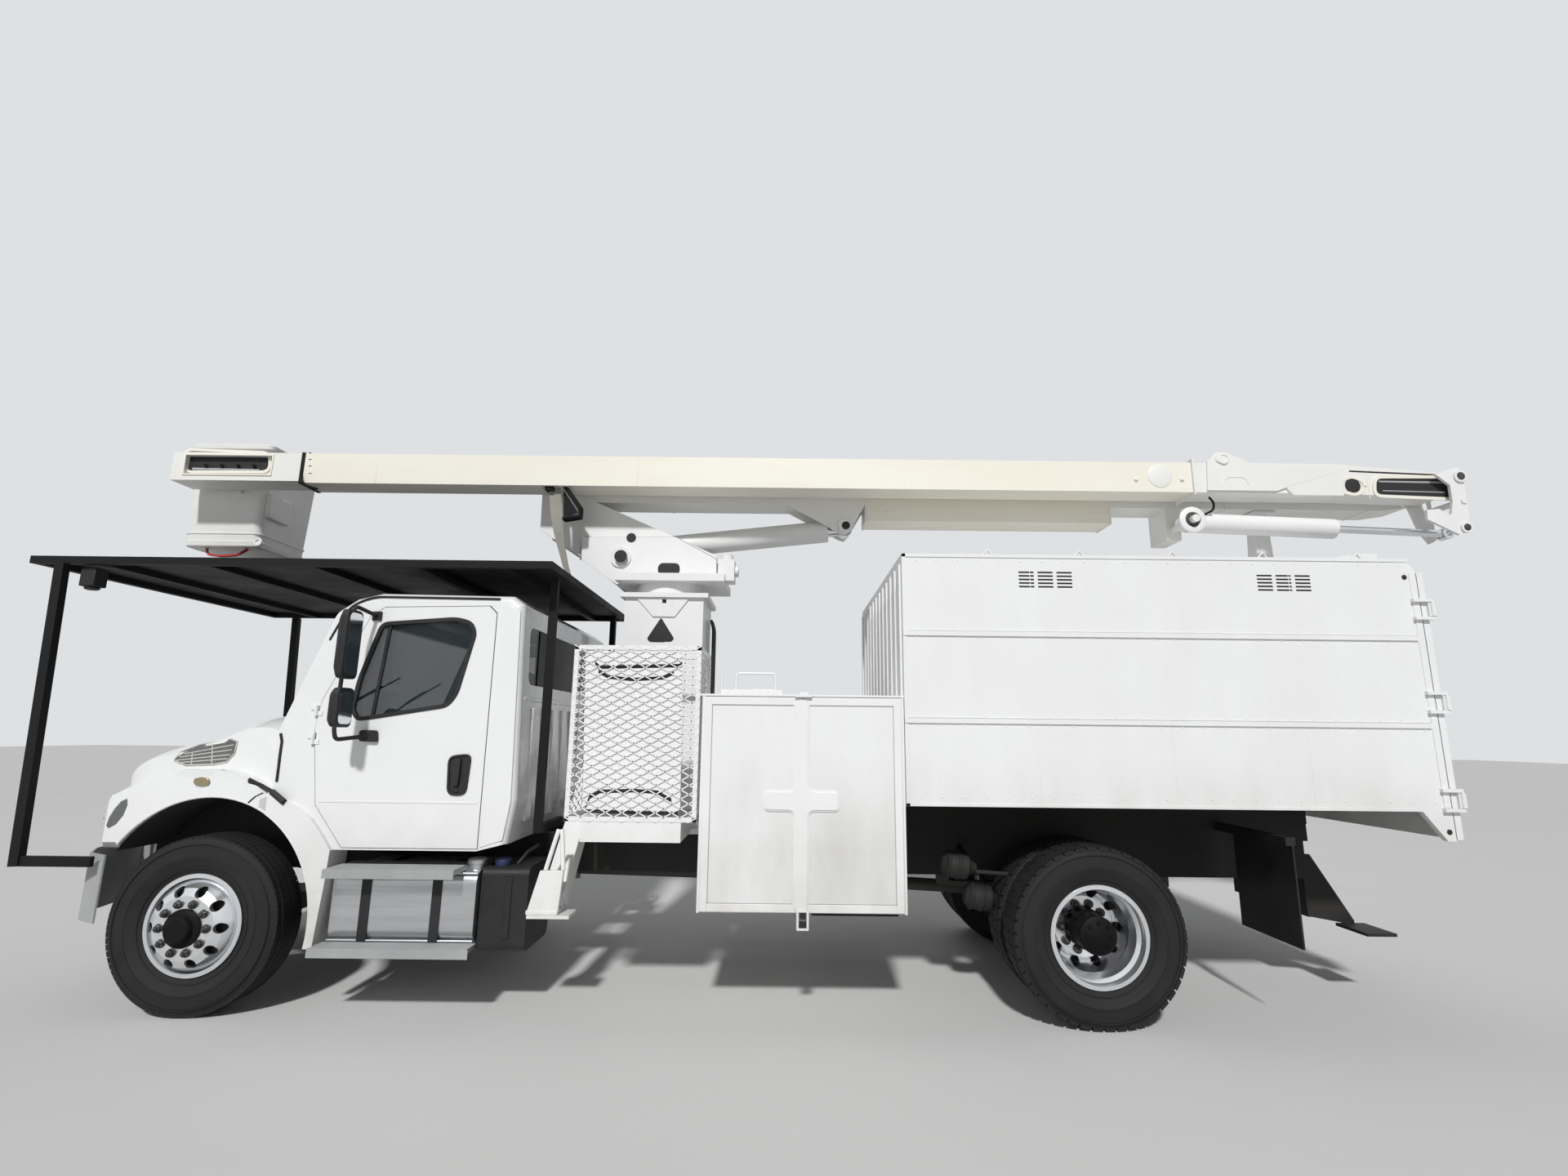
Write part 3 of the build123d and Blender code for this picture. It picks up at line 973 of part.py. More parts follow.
# Chip body: box with open rear, ribs, vents, sills and the boom rest on its roof
BODY_END = 7742             # rear edge of the side walls
BARN_KNUCKLES = (1300, 1900, 2500)
BARN_KNUCKLE_LENGTH = 90
BARN_KNUCKLE_RADIUS = 16
BARN_PIN = 8
BODY_SIDE = [
    (BODY_FRONT, BODY_FLOOR), (7560, BODY_FLOOR), (7690, 1100), (BODY_END, 1100),
    (BODY_END, 2800),
    (7700, 2860), (BODY_FRONT, BODY_ROOF),
]
RIB_HEIGHTS = [1798, 2355]
VENTS = [(5129, 2664), (6695, 2659)]    # front low corner of each group of slots
VENT_PITCH = (125, 24)
FRONT_RIBS = 12
with BuildPart() as chip_body:
    slab(BODY_SIDE, -BODY_HALF, BODY_HALF)
    brick((BODY_FRONT + BODY_WALL, 7900), (BODY_WALL - BODY_HALF, BODY_HALF - BODY_WALL),
          (BODY_FLOOR + BODY_WALL, BODY_ROOF - BODY_WALL - 20), mode=Mode.SUBTRACT)
    brick((7560, 7800), (BODY_WALL - BODY_HALF, BODY_HALF - BODY_WALL),
          (1000, BODY_FLOOR + BODY_WALL + 1), mode=Mode.SUBTRACT)
    for side, name in SIDES:
        for z in RIB_HEIGHTS:
            brick((BODY_FRONT, 7690), span(side, BODY_HALF - 1, BODY_HALF + 12), (z - 15, z + 15))
        for station, z in VENTS:
            for i in range(3):
                for j in range(5):
                    x = station + i * VENT_PITCH[0]
                    low = z + j * VENT_PITCH[1]
                    brick((x, x + 100), span(side, BODY_HALF - 60, BODY_HALF + 20),
                          (low, low + 12), mode=Mode.SUBTRACT)
    for i in range(FRONT_RIBS):
        y = -BODY_HALF + 60 + i * (2 * BODY_HALF - 160) / (FRONT_RIBS - 1)
        brick((BODY_FRONT - 12, BODY_FRONT + 1), (y, y + 60), (BODY_FLOOR + 60, BODY_ROOF - 60))
    for side, name in SIDES:
        brick((BODY_FRONT + 20, 7360), span(side, RAIL_Y - 80, RAIL_Y), (1110, BODY_FLOOR + 1))
        # hinge ears with the barn doors' pins
        for z in BARN_KNUCKLES:
            for low in (z - 24, z + BARN_KNUCKLE_LENGTH + 4):
                brick((BODY_END - 60, BODY_END), span(side, BODY_HALF - 6, BARN_HINGE[1] + 8),
                      (low, low + 20))
                brick((BODY_END - 1, BARN_HINGE[0]),
                      span(side, BODY_HALF + RUNNING, BARN_HINGE[1] + 8), (low, low + 20))
            with Locations((sx(BARN_HINGE[0]), side * BARN_HINGE[1], z - 24)):
                Cylinder(BARN_PIN, BARN_KNUCKLE_LENGTH + 48,
                         align=(Align.CENTER, Align.CENTER, Align.MIN))
    # boom rest
    slab([(7560, BODY_ROOF - 30), (7740, BODY_ROOF - 30), (7700, LOWER_BOTTOM - 25),
          (7600, LOWER_BOTTOM - 25)], 100, 220)
    brick((7560, 7740), (40, 290), (LOWER_BOTTOM - 25, LOWER_BOTTOM - 5))
keep(chip_body.part, "chip_body")

# Barn doors across the back, on pins that stand off the body's rear corners
for side, name in SIDES:
    with BuildPart() as barn_door:
        brick((BODY_END + RUNNING, BODY_END + RUNNING + BARN_THICK), span(side, 3, BODY_HALF),
              (1110, 2790))
        for z in BARN_KNUCKLES:
            brick((7780, BARN_HINGE[0]), span(side, BODY_HALF - 60, BARN_HINGE[1]),
                  (z, z + BARN_KNUCKLE_LENGTH))
            with Locations((sx(BARN_HINGE[0]), side * BARN_HINGE[1], z)):
                Cylinder(BARN_KNUCKLE_RADIUS, BARN_KNUCKLE_LENGTH,
                         align=(Align.CENTER, Align.CENTER, Align.MIN))
                Cylinder(BARN_PIN + FIT, BARN_KNUCKLE_LENGTH,
                         align=(Align.CENTER, Align.CENTER, Align.MIN), mode=Mode.SUBTRACT)
    keep(barn_door.part, f"barn_door_{name}")

# Mud flaps on their hangers behind the rear wheels
with BuildPart() as mud_flaps:
    for side, name in SIDES:
        brick((6730, 6740), span(side, 600, BODY_HALF - 10), (464, 1060))
        brick((6700, 6760), span(side, RAIL_Y, BODY_HALF - 20), (1060, 1110))
keep(mud_flaps.part, "mud_flaps")

# Hitch plate on the frame's rear end, with its gussets and low step
with BuildPart() as hitch_plate:
    brick((RAIL_REAR, RAIL_REAR + 25), (-RAIL_Y, RAIL_Y), (480, RAIL_TOP))
    for side, name in SIDES:
        slab([(RAIL_REAR + 25, 900), (RAIL_REAR + 60, 900), (7620, 460), (7620, 430),
              (RAIL_REAR + 25, 480)], *span(side, RAIL_Y - 20, RAIL_Y))
        brick((7500, 7700), span(side, RAIL_Y - 20, 700), (420, 440))
    with BuildSketch(Plane.YZ.offset(sx(RAIL_REAR + 25))) as pattern:
        with Locations((0, 700)):
            with GridLocations(88.9, 44.5, 2, 2):
                Circle(7.2)
    extrude(pattern.sketch, amount=-25, mode=Mode.SUBTRACT)
keep(hitch_plate.part, "hitch_plate")
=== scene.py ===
import bpy
import bmesh
from math import sin, cos, pi, radians
from mathutils import Vector, Matrix


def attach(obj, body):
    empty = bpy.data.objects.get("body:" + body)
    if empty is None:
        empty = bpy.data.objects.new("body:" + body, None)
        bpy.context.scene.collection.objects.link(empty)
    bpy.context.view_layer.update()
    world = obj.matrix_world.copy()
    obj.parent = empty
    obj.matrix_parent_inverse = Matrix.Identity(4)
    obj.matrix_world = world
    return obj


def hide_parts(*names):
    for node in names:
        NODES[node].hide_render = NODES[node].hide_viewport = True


# Cherry picker truck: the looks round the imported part. Places are metres, x from the front
# axle, y from the middle and z from the ground. The cab faces -x, the driver's side is -y.
# Names that end in _PX hold pixels (u, v) of the 1920 x 1440 photograph.

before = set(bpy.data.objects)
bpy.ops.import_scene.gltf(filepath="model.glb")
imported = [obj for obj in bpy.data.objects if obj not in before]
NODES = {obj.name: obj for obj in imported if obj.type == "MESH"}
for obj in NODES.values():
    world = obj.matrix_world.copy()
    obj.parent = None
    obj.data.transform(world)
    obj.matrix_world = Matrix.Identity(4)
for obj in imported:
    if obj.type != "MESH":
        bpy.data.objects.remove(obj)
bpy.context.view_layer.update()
AXLE = -3.765          # the front axle's place in the part's own frame
SIDES = ((-1, "left"), (1, "right"))


# Materials

SLOT_NAMES = {}                        # the record's slot of each material
MIX_A, MIX_B, MIX_RESULT = 6, 7, 2     # colour sockets of the Mix node


def new_material(name):
    mat = bpy.data.materials.new(name)
    mat.use_nodes = True
    tree = mat.node_tree
    tree.nodes.clear()
    out = tree.nodes.new("ShaderNodeOutputMaterial")
    shader = tree.nodes.new("ShaderNodeBsdfPrincipled")
    tree.links.new(shader.outputs[0], out.inputs[0])
    return mat, tree, shader


def fill(tree, node, inputs):
    """Give a node's inputs their values or links."""
    for key, value in inputs.items():
        if isinstance(value, bpy.types.NodeSocket):
            tree.links.new(value, node.inputs[key])
        else:
            node.inputs[key].default_value = value
    return node


def add_node(tree, kind, inputs, **settings):
    node = tree.nodes.new("ShaderNode" + kind)
    for key, value in settings.items():
        setattr(node, key, value)
    return fill(tree, node, inputs)


def noise(tree, scale, detail=4.0, rough=0.6, stretch=(1, 1, 1)):
    place = add_node(tree, "TexCoord", {}).outputs["Object"]
    mapping = add_node(tree, "Mapping", {"Vector": place, "Scale": stretch})
    return add_node(tree, "TexNoise", {"Vector": mapping.outputs[0], "Scale": scale,
                                       "Detail": detail, "Roughness": rough}).outputs["Fac"]


def remap(tree, value, low, high, out_low, out_high):
    return add_node(tree, "MapRange", {"Value": value, "From Min": low, "From Max": high,
                                       "To Min": out_low, "To Max": out_high}).outputs[0]


def height(tree, low, high):
    """1 at or below low, 0 at or above high."""
    place = add_node(tree, "TexCoord", {}).outputs["Object"]
    split = add_node(tree, "SeparateXYZ", {"Vector": place})
    return remap(tree, split.outputs["Z"], low, high, 1, 0)


def times(tree, a, b):
    return add_node(tree, "Math", {0: a, 1: b}, operation="MULTIPLY").outputs[0]


def blend(tree, factor, a, b):
    """Colour a where the factor is 0, colour b where it is 1."""
    a, b = (c if isinstance(c, bpy.types.NodeSocket) else (*c, 1) for c in (a, b))
    mix = tree.nodes.new("ShaderNodeMix")
    mix.data_type = "RGBA"
    fill(tree, mix, {"Factor": factor, MIX_A: a, MIX_B: b})
    return mix.outputs[MIX_RESULT]


def worn(name, slot_name, base, second, dirt, rough=(0.3, 0.5), metal=0.0, coat=0.0, scale=3.0,
         grain=60.0, grain_strength=0.15, dirt_line=None, dirt_amount=0.3, stretch=(1, 1, 1),
         specular=0.5):
    """Two close tones in soft patches, dirt in small specks and towards the ground."""
    mat, tree, shader = new_material(name)
    SLOT_NAMES[mat.name] = slot_name
    patch = noise(tree, scale, 5.0, 0.6, stretch)
    speck = noise(tree, scale * 9, 8.0, 0.7)
    tone = blend(tree, remap(tree, patch, 0.35, 0.65, 0, 1), base, second)
    tone = blend(tree, remap(tree, speck, 0.62, 0.8, 0, dirt_amount), tone, dirt)
    if dirt_line:
        low = times(tree, height(tree, *dirt_line), remap(tree, patch, 0.3, 0.7, 0.2, 1.0))
        tone = blend(tree, times(tree, low, 0.6), tone, dirt)
    relief = add_node(tree, "Bump", {"Strength": grain_strength, "Distance": 0.001,
                                     "Height": noise(tree, grain, 3.0, 0.5)})
    fill(tree, shader, {"Base Color": tone, "Metallic": metal, "Coat Weight": coat,
                        "Coat Roughness": 0.08, "Specular IOR Level": specular,
                        "Roughness": remap(tree, patch, 0.3, 0.7, *rough),
                        "Normal": relief.outputs[0]})
    return mat


# Each has its base and second tone, its dirt, and the range of its roughness.
CAB_WHITE = worn("cab_white", "white_paint", (0.82, 0.825, 0.825), (0.80, 0.805, 0.805),
                 (0.45, 0.42, 0.38), (0.22, 0.32), coat=0.5, dirt_line=(0.5, 1.3),
                 dirt_amount=0.08)
BODY_WHITE = worn("body_white", "white_paint", (0.82, 0.825, 0.825), (0.78, 0.785, 0.78),
                  (0.50, 0.48, 0.44), (0.38, 0.52), dirt_line=(1.0, 1.6), dirt_amount=0.15,
                  stretch=(1, 1, 0.35))
STEEL_WHITE = worn("steel_white", "white_paint", (0.83, 0.83, 0.825), (0.79, 0.79, 0.785),
                   (0.45, 0.42, 0.38), (0.35, 0.5), dirt_line=(0.5, 1.2), dirt_amount=0.18)
BOOM_WHITE = worn("boom_white", "white_fibreglass", (0.83, 0.825, 0.80), (0.79, 0.78, 0.75),
                  (0.5, 0.46, 0.38), (0.35, 0.5), dirt_amount=0.15, stretch=(0.4, 1, 1))
BOOM_CREAM = worn("boom_cream", "boom_fibreglass", (0.86, 0.835, 0.745), (0.83, 0.795, 0.69),
                  (0.55, 0.5, 0.4), (0.35, 0.5), dirt_amount=0.15, stretch=(0.3, 1, 1))
BUCKET_WHITE = worn("bucket_white", "white_fibreglass", (0.79, 0.79, 0.775), (0.73, 0.73, 0.71),
                    (0.4, 0.38, 0.33), (0.35, 0.5), dirt_amount=0.2)
BLACK = worn("black_paint", "black_paint", (0.006, 0.006, 0.007), (0.010, 0.010, 0.011),
             (0.05, 0.045, 0.04), (0.55, 0.75), dirt_amount=0.15, specular=0.2)
CHASSIS_BLACK = worn("chassis_black", "black_paint", (0.014, 0.014, 0.015),
                     (0.03, 0.028, 0.026), (0.12, 0.1, 0.08), (0.5, 0.75), specular=0.25)
RUBBER = worn("tyre_rubber", "tyre_rubber", (0.013, 0.013, 0.0135), (0.020, 0.0195, 0.019),
              (0.09, 0.082, 0.07), (0.62, 0.8), scale=5.0, grain=160.0, grain_strength=0.3,
              dirt_amount=0.2, specular=0.25)
ALLOY = worn("polished_alloy", "polished_aluminium", (0.86, 0.87, 0.89), (0.80, 0.81, 0.83),
             (0.45, 0.42, 0.38), (0.16, 0.24), metal=0.9, scale=4.0, dirt_amount=0.08)
TANK_ALLOY = worn("brushed_alloy", "bare_aluminium", (0.60, 0.61, 0.62), (0.46, 0.47, 0.48),
                  (0.27, 0.25, 0.22), (0.28, 0.48), metal=0.9, scale=6.0, grain=40.0,
                  stretch=(0.2, 1, 4), dirt_amount=0.35)
CHROME = worn("chrome", "rod_chrome", (0.80, 0.81, 0.83), (0.72, 0.73, 0.75), (0.4, 0.4, 0.4),
              (0.06, 0.14), metal=1.0, grain_strength=0.02)
PLASTIC = worn("black_plastic", "black_plastic", (0.016, 0.016, 0.017), (0.026, 0.026, 0.028),
               (0.1, 0.095, 0.09), (0.45, 0.62), grain=220.0, grain_strength=0.25,
               dirt_amount=0.15, specular=0.3)
GREY_PLASTIC = worn("grey_plastic", "grey_plastic", (0.13, 0.135, 0.14), (0.10, 0.105, 0.11),
                    (0.2, 0.19, 0.18), (0.5, 0.7), grain=220.0, grain_strength=0.25)
BUMPER = worn("bumper_grey", "bumper_grey", (0.38, 0.39, 0.39), (0.31, 0.32, 0.32),
              (0.2, 0.19, 0.17), (0.4, 0.55))
GRILLE = worn("grille_grey", "grille_grey", (0.56, 0.55, 0.49), (0.49, 0.48, 0.43),
              (0.2, 0.19, 0.18), (0.35, 0.5), dirt_amount=0.2)
RED = worn("red_lens", "black_plastic", (0.5, 0.02, 0.02), (0.4, 0.015, 0.015),
           (0.2, 0.05, 0.04), (0.15, 0.3), coat=1.0, dirt_amount=0.1)
CAST = worn("cast_black", "cast_black", (0.03, 0.03, 0.03), (0.05, 0.045, 0.04),
            (0.14, 0.11, 0.08), (0.5, 0.75), grain=90.0, grain_strength=0.4, dirt_amount=0.4)
NUT_METAL = worn("nut_metal", "cast_black", (0.07, 0.07, 0.072), (0.05, 0.05, 0.052),
                 (0.06, 0.05, 0.04), (0.3, 0.45), metal=0.5)
BRASS = worn("dull_brass", "grille_grey", (0.36, 0.31, 0.18), (0.30, 0.25, 0.14),
             (0.2, 0.18, 0.12), (0.2, 0.35), metal=0.5, coat=0.6)
WEBBING = worn("webbing", "grey_plastic", (0.34, 0.33, 0.29), (0.28, 0.27, 0.24),
               (0.2, 0.18, 0.14), (0.7, 0.85), grain=300.0, grain_strength=0.3)
CAP_BLUE = worn("cap_blue", "black_plastic", (0.02, 0.03, 0.09), (0.03, 0.04, 0.11),
                (0.06, 0.06, 0.06), (0.4, 0.55))
HUB_BLACK = worn("hub_black", "black_paint", (0.004, 0.004, 0.004), (0.007, 0.007, 0.007),
                 (0.02, 0.018, 0.016), (0.5, 0.65), dirt_amount=0.1, specular=0.12)
VINYL = worn("seat_vinyl", "grey_plastic", (0.055, 0.057, 0.062), (0.04, 0.042, 0.046),
             (0.1, 0.1, 0.1), (0.5, 0.65), grain=260.0, grain_strength=0.35)
# Near black: the own colour of latches, seals, seams and arch liners; elsewhere it is painted
# shade in holes, vents, slots and recesses.
DARK = worn("dark_void", "black_plastic", (0.006, 0.006, 0.006), (0.01, 0.01, 0.01),
            (0.02, 0.02, 0.02), (0.6, 0.8))

GLASS, tree, shader = new_material("tinted_glass")
smear = noise(tree, 2.0, 4.0, 0.5)
fill(tree, shader, {"Alpha": 0.42, "Specular IOR Level": 0.4,
                    "Base Color": blend(tree, smear, (0.010, 0.022, 0.026),
                                        (0.016, 0.030, 0.035)),
                    "Roughness": remap(tree, smear, 0.3, 0.7, 0.02, 0.07)})

# The part's own nodes take the first material whose list holds the start of their name.
FINISH = (
    (GLASS, "cab_glass door_glass"), (CAB_WHITE, "cab_shell hood door_"),
    (GREY_PLASTIC, "cab_interior"), (GRILLE, "grille_and_lamps"), (BUMPER, "front_bumper"),
    (PLASTIC, "mirror def_tank mud_flaps"), (TANK_ALLOY, "fuel_tank"), (BLACK, "guard"),
    (CHASSIS_BLACK, "frame_rails body_subframe hitch_plate"),
    (CAST, "axles leaf_springs engine_block knuckle"), (RUBBER, "tyre"), (ALLOY, "rim"),
    (BODY_WHITE, "tool_box chip_body barn_door box_door"), (CHROME, "lift_rod fold_rod"),
    (BOOM_WHITE, "lower_boom upper_boom_sleeve upper_boom_tip"), (BOOM_CREAM, "upper_boom"),
    (BUCKET_WHITE, "bucket"),
    (STEEL_WHITE, "pedestal turret basket outrigger yoke lift_barrel fold_barrel"))
for name, node in NODES.items():
    mat = next(mat for mat, starts in FINISH if name.startswith(tuple(starts.split())))
    node.data.materials.clear()
    node.data.materials.append(mat)


# Camera, lamps and floor

CAMERA_AT = Vector((3.591 + AXLE, -5.975, 1.714))
PHOTO_WIDE, CENTRE_U, CENTRE_V = 1920, 960, 720
YAW, PITCH, ROLL = -0.001, 0.193, 0.011
FOCAL_PX = 904.9
SENSOR = 36
FORWARD = Vector((sin(YAW) * cos(PITCH), cos(YAW) * cos(PITCH), sin(PITCH)))
level = Vector((cos(YAW), -sin(YAW), 0))
upward = level.cross(FORWARD)
RIGHT = level * cos(ROLL) + upward * sin(ROLL)
UP = upward * cos(ROLL) - level * sin(ROLL)
camera = bpy.data.objects.new("camera", bpy.data.cameras.new("camera"))
bpy.context.scene.collection.objects.link(camera)
turn = Matrix((RIGHT, UP, -FORWARD)).transposed().to_4x4()
camera.matrix_world = Matrix.Translation(CAMERA_AT) @ turn
camera.data.sensor_fit = "HORIZONTAL"
camera.data.sensor_width = SENSOR
camera.data.lens = SENSOR * FOCAL_PX / PHOTO_WIDE
camera.data.clip_end = 200
bpy.context.scene.camera = camera
bpy.context.scene.view_settings.view_transform = "Standard"


def pixel_ray(u, v):
    """Direction from the camera through a pixel of the photograph."""
    return (FORWARD * FOCAL_PX + RIGHT * (u - CENTRE_U) - UP * (v - CENTRE_V)).normalized()


def px_plane(u, v, y):
    """Place (x, z) on a plane across the truck that the photograph's pixel shows."""
    ray = pixel_ray(u, v)
    spot = CAMERA_AT + ray * ((y - CAMERA_AT.y) / ray.y)
    return spot.x - AXLE, spot.z


def px_outline(pixels, y):
    return [px_plane(u, v, y) for u, v in pixels]


def px_hit(nodes, u, v, lift=0.0):
    """Nearest place on the nodes' skin that the pixel shows, lifted off it.

    The place is on the left side, and its y counts outwards, as a sided piece does.
    """
    ray = pixel_ray(u, v)
    spots = []
    for obj in (NODES[node] for node in nodes.split()):
        inverse = obj.matrix_world.inverted()
        found, spot, normal, _ = obj.ray_cast(inverse @ CAMERA_AT, inverse.to_3x3() @ ray)
        if found:
            normal = (obj.matrix_world.to_3x3() @ normal).normalized()
            towards = -1 if normal.dot(ray) > 0 else 1
            spots.append(obj.matrix_world @ spot + normal * towards * lift)
    spot = min(spots, key=lambda place: (place - CAMERA_AT).length)
    return Vector((spot.x - AXLE, -spot.y, spot.z))


def lamp(name, kind, energy, place, aim, **settings):
    data = bpy.data.lights.new(name, kind)
    data.energy = energy
    for key, value in settings.items():
        setattr(data, key, value)
    obj = bpy.data.objects.new(name, data)
    obj.visible_glossy = kind != "AREA"
    bpy.context.scene.collection.objects.link(obj)
    obj.location = place
    obj.rotation_euler = (Vector(aim) - Vector(place)).to_track_quat("-Z", "Y").to_euler()


lamp("key", "SUN", 2.75, (-0.8, -11.4, 11), (0, 0, 1), angle=0.07)
lamp("fill", "AREA", 90, (-8, -11, 5), (0, 0, 1.5), size=8)
lamp("back", "AREA", 200, (0, 11, 9), (0, 0, 1.5), size=8)

# The world lights the part softly, and is brighter where the camera or a reflection sees it.
WORLD_LIGHT, WORLD_SEEN = 0.20, 0.85
SKY = (0.86, 0.88, 0.9, 1)
world = bpy.data.worlds.new("world")
bpy.context.scene.world = world
world.use_nodes = True
sky = world.node_tree
path = add_node(sky, "LightPath", {})
seen = path.outputs["Is Camera Ray"]
for kind in ("Is Glossy Ray", "Is Transmission Ray"):
    seen = add_node(sky, "Math", {0: seen, 1: path.outputs[kind]},
                    operation="MAXIMUM").outputs[0]
fill(sky, sky.nodes["Background"], {
    "Color": SKY, "Strength": remap(sky, seen, 0, 1, WORLD_LIGHT, WORLD_SEEN)})

FLOOR = 60
floor_mesh = bpy.data.meshes.new("floor")
floor_mesh.from_pydata([(-FLOOR, -FLOOR, 0), (FLOOR, -FLOOR, 0), (FLOOR, FLOOR, 0),
                        (-FLOOR, FLOOR, 0)], [], [(0, 1, 2, 3)])
floor = bpy.data.objects.new("floor", floor_mesh)
bpy.context.scene.collection.objects.link(floor)
mat, tree, shader = new_material("floor")
fill(tree, shader, {"Roughness": 0.9, "Base Color": blend(
    tree, noise(tree, 0.7), (0.62, 0.62, 0.61), (0.66, 0.66, 0.65))})
floor_mesh.materials.append(mat)


# Pieces

def ring_faces(n, rings, looped=False):
    """Walls between successive rings of n points; looped joins the last to the first."""
    return [(i * n + k, i * n + (k + 1) % n, (i + 1) % rings * n + (k + 1) % n,
             (i + 1) % rings * n + k)
            for i in range(rings if looped else rings - 1) for k in range(n)]


class Piece:
    """Geometry gathered into one object that rides on a body.

    With side -1 each y counts to the left, so that one description does for both sides.
    """

    def __init__(self, name, body, material, side=1, slot_name=None):
        self.name = name
        self.body = body
        self.material = material
        self.side = side
        self.slot_name = slot_name or SLOT_NAMES[material.name]
        self.points = []
        self.faces = []

    def add(self, points, faces):
        base = len(self.points)
        self.points += [(x, self.side * y, z) for x, y, z in points]
        self.faces += [tuple(base + i for i in face) for face in faces]
        return self

    def loft(self, rings, caps=True, looped=False):
        """A skin over successive rings of points, with flat ends or looped."""
        n, last = len(rings[0]), len(rings) - 1
        faces = ring_faces(n, len(rings), looped)
        if caps and not looped:
            faces += [tuple(range(n)), tuple(range(last * n, last * n + n))]
        return self.add([p for ring in rings for p in ring], faces)

    def box(self, x, y, z):
        """A block between two stations, sides and heights."""
        return self.prism([(x[0], z[0]), (x[1], z[0]), (x[1], z[1]), (x[0], z[1])], *y)

    def prism(self, outline, y0, y1):
        """A side outline of (x, z) points, between two planes across the truck."""
        return self.loft([[(x, y, z) for x, z in outline] for y in (y0, y1)])

    def frame(self, outline, width, y0, y1):
        """A band round a side outline, width inwards."""
        inner = inset(outline, width)
        return self.loft([[(x, y, z) for x, z in ring] for ring, y in
                          ((outline, y0), (outline, y1), (inner, y1), (inner, y0))],
                         looped=True)

    def square_to(self, axis):
        """A direction square to the axis, chosen in space and not for each side."""
        flip = Vector((1, self.side, 1))
        return ((axis * flip).orthogonal() * flip).normalized()

    def tube(self, path, radius, sides=10, closed=False):
        """A round bar along a path."""
        path = [Vector(p) for p in path]
        n = len(path)
        rings = []
        normal = None
        for i, p in enumerate(path):
            before = path[i - 1] if i or closed else p
            after = path[(i + 1) % n] if i < n - 1 or closed else p
            ahead = (after - before).normalized()
            if normal is None:
                normal = self.square_to(ahead)
            normal = (normal - ahead * normal.dot(ahead)).normalized()
            side = ahead.cross(normal)
            rings.append([p + (normal * a + side * b) * radius for a, b in circle(1, sides)])
        return self.loft(rings, looped=closed)

    def disc(self, centre, axis, profile, sides=32):
        """A turned shape: profile lists (radius, distance along the axis)."""
        centre, axis = Vector(centre), Vector(axis).normalized()
        a = self.square_to(axis)
        b = axis.cross(a)
        angles = [2 * pi * (k + 0.5) / sides for k in range(sides)]
        return self.loft([[centre + axis * d + (a * cos(t) + b * sin(t)) * max(r, 1e-5)
                           for t in angles] for r, d in profile])

    def bolt(self, centre, axis, radius, tall):
        """A hexagon head with a washer under it."""
        self.disc(centre, axis, [(radius * 1.35, 0), (radius * 1.35, tall * 0.25)], 16)
        self.disc(centre, axis, [(radius, 0), (radius, tall * 0.9), (radius * 0.85, tall)], 6)

    def done(self, bevel=0.0, smooth=35, stands_for=()):
        mesh = bpy.data.meshes.new(self.name)
        mesh.from_pydata([(x + AXLE, y, z) for x, y, z in self.points], [], self.faces)
        work = bmesh.new()
        work.from_mesh(mesh)
        bmesh.ops.recalc_face_normals(work, faces=work.faces)
        work.to_mesh(mesh)
        work.free()
        obj = bpy.data.objects.new(self.name, mesh)
        bpy.context.scene.collection.objects.link(obj)
        mesh.materials.append(self.material)
        if bevel:
            mod = obj.modifiers.new("edges", "BEVEL")
            mod.width = bevel
            mod.segments = 2
            mod.limit_method = "ANGLE"
            mod.angle_limit = radians(40)
        mesh.shade_smooth()
        mesh.set_sharp_from_angle(angle=radians(smooth))
        if stands_for:
            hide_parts(*stands_for)
        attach(obj, self.body)
        return obj


def circle(radius, count, x=0, z=0):
    """Points round a centre, in the plane that x and z name."""
    return [(x + radius * cos(2 * pi * k / count), z + radius * sin(2 * pi * k / count))
            for k in range(count)]


def arc(wide, tall, z, start, step, count):
    """Points (x, z) along an arch over the front axle, from start by step degrees."""
    return [(wide * cos(t), z + tall * sin(t))
            for t in (radians(start + k * step) for k in range(count))]


def inset(outline, width):
    """A closed outline moved inwards by a set width."""
    n = len(outline)
    area = sum(outline[i][0] * outline[(i + 1) % n][1] - outline[(i + 1) % n][0] * outline[i][1]
               for i in range(n))
    turn = 1 if area > 0 else -1
    result = []
    for i in range(n):
        p0, p1, p2 = (Vector(outline[k % n]) for k in (i - 1, i, i + 1))
        a, b = (p1 - p0).normalized(), (p2 - p1).normalized()
        na, nb = Vector((-a.y, a.x)) * turn, Vector((-b.y, b.x)) * turn
        mid = (na + nb).normalized()
        result.append(tuple(p1 + mid * (width / max(mid.dot(na), 0.3))))
    return result


def bend(p0, p1, p2, radius, steps):
    """Points of a rounded corner at p1."""
    a, b = p0 - p1, p2 - p1
    cut = min(radius, a.length * 0.45, b.length * 0.45)
    start, end = p1 + a.normalized() * cut, p1 + b.normalized() * cut
    return [start * (1 - t) ** 2 + p1 * 2 * t * (1 - t) + end * t * t
            for t in (k / steps for k in range(steps + 1))]


def rounded(outline, radius, steps=4):
    """A closed outline with its corners rounded."""
    points = [Vector(p) for p in outline]
    return [tuple(p) for i in range(len(points))
            for p in bend(points[i - 1], points[i], points[(i + 1) % len(points)], radius,
                          steps)]


def rounded_path(path, radius, steps=5):
    """An open path with its corners rounded."""
    points = [Vector(p) for p in path]
    corners = zip(points, points[1:], points[2:])
    return ([points[0]] + [p for corner in corners for p in bend(*corner, radius, steps)]
            + [points[-1]])


# Tyres: tread blocks and sidewall ribs over the turned tyres

TYRE_R = 0.52
FRONT, REAR = 0.0, 5.52          # the axles' stations
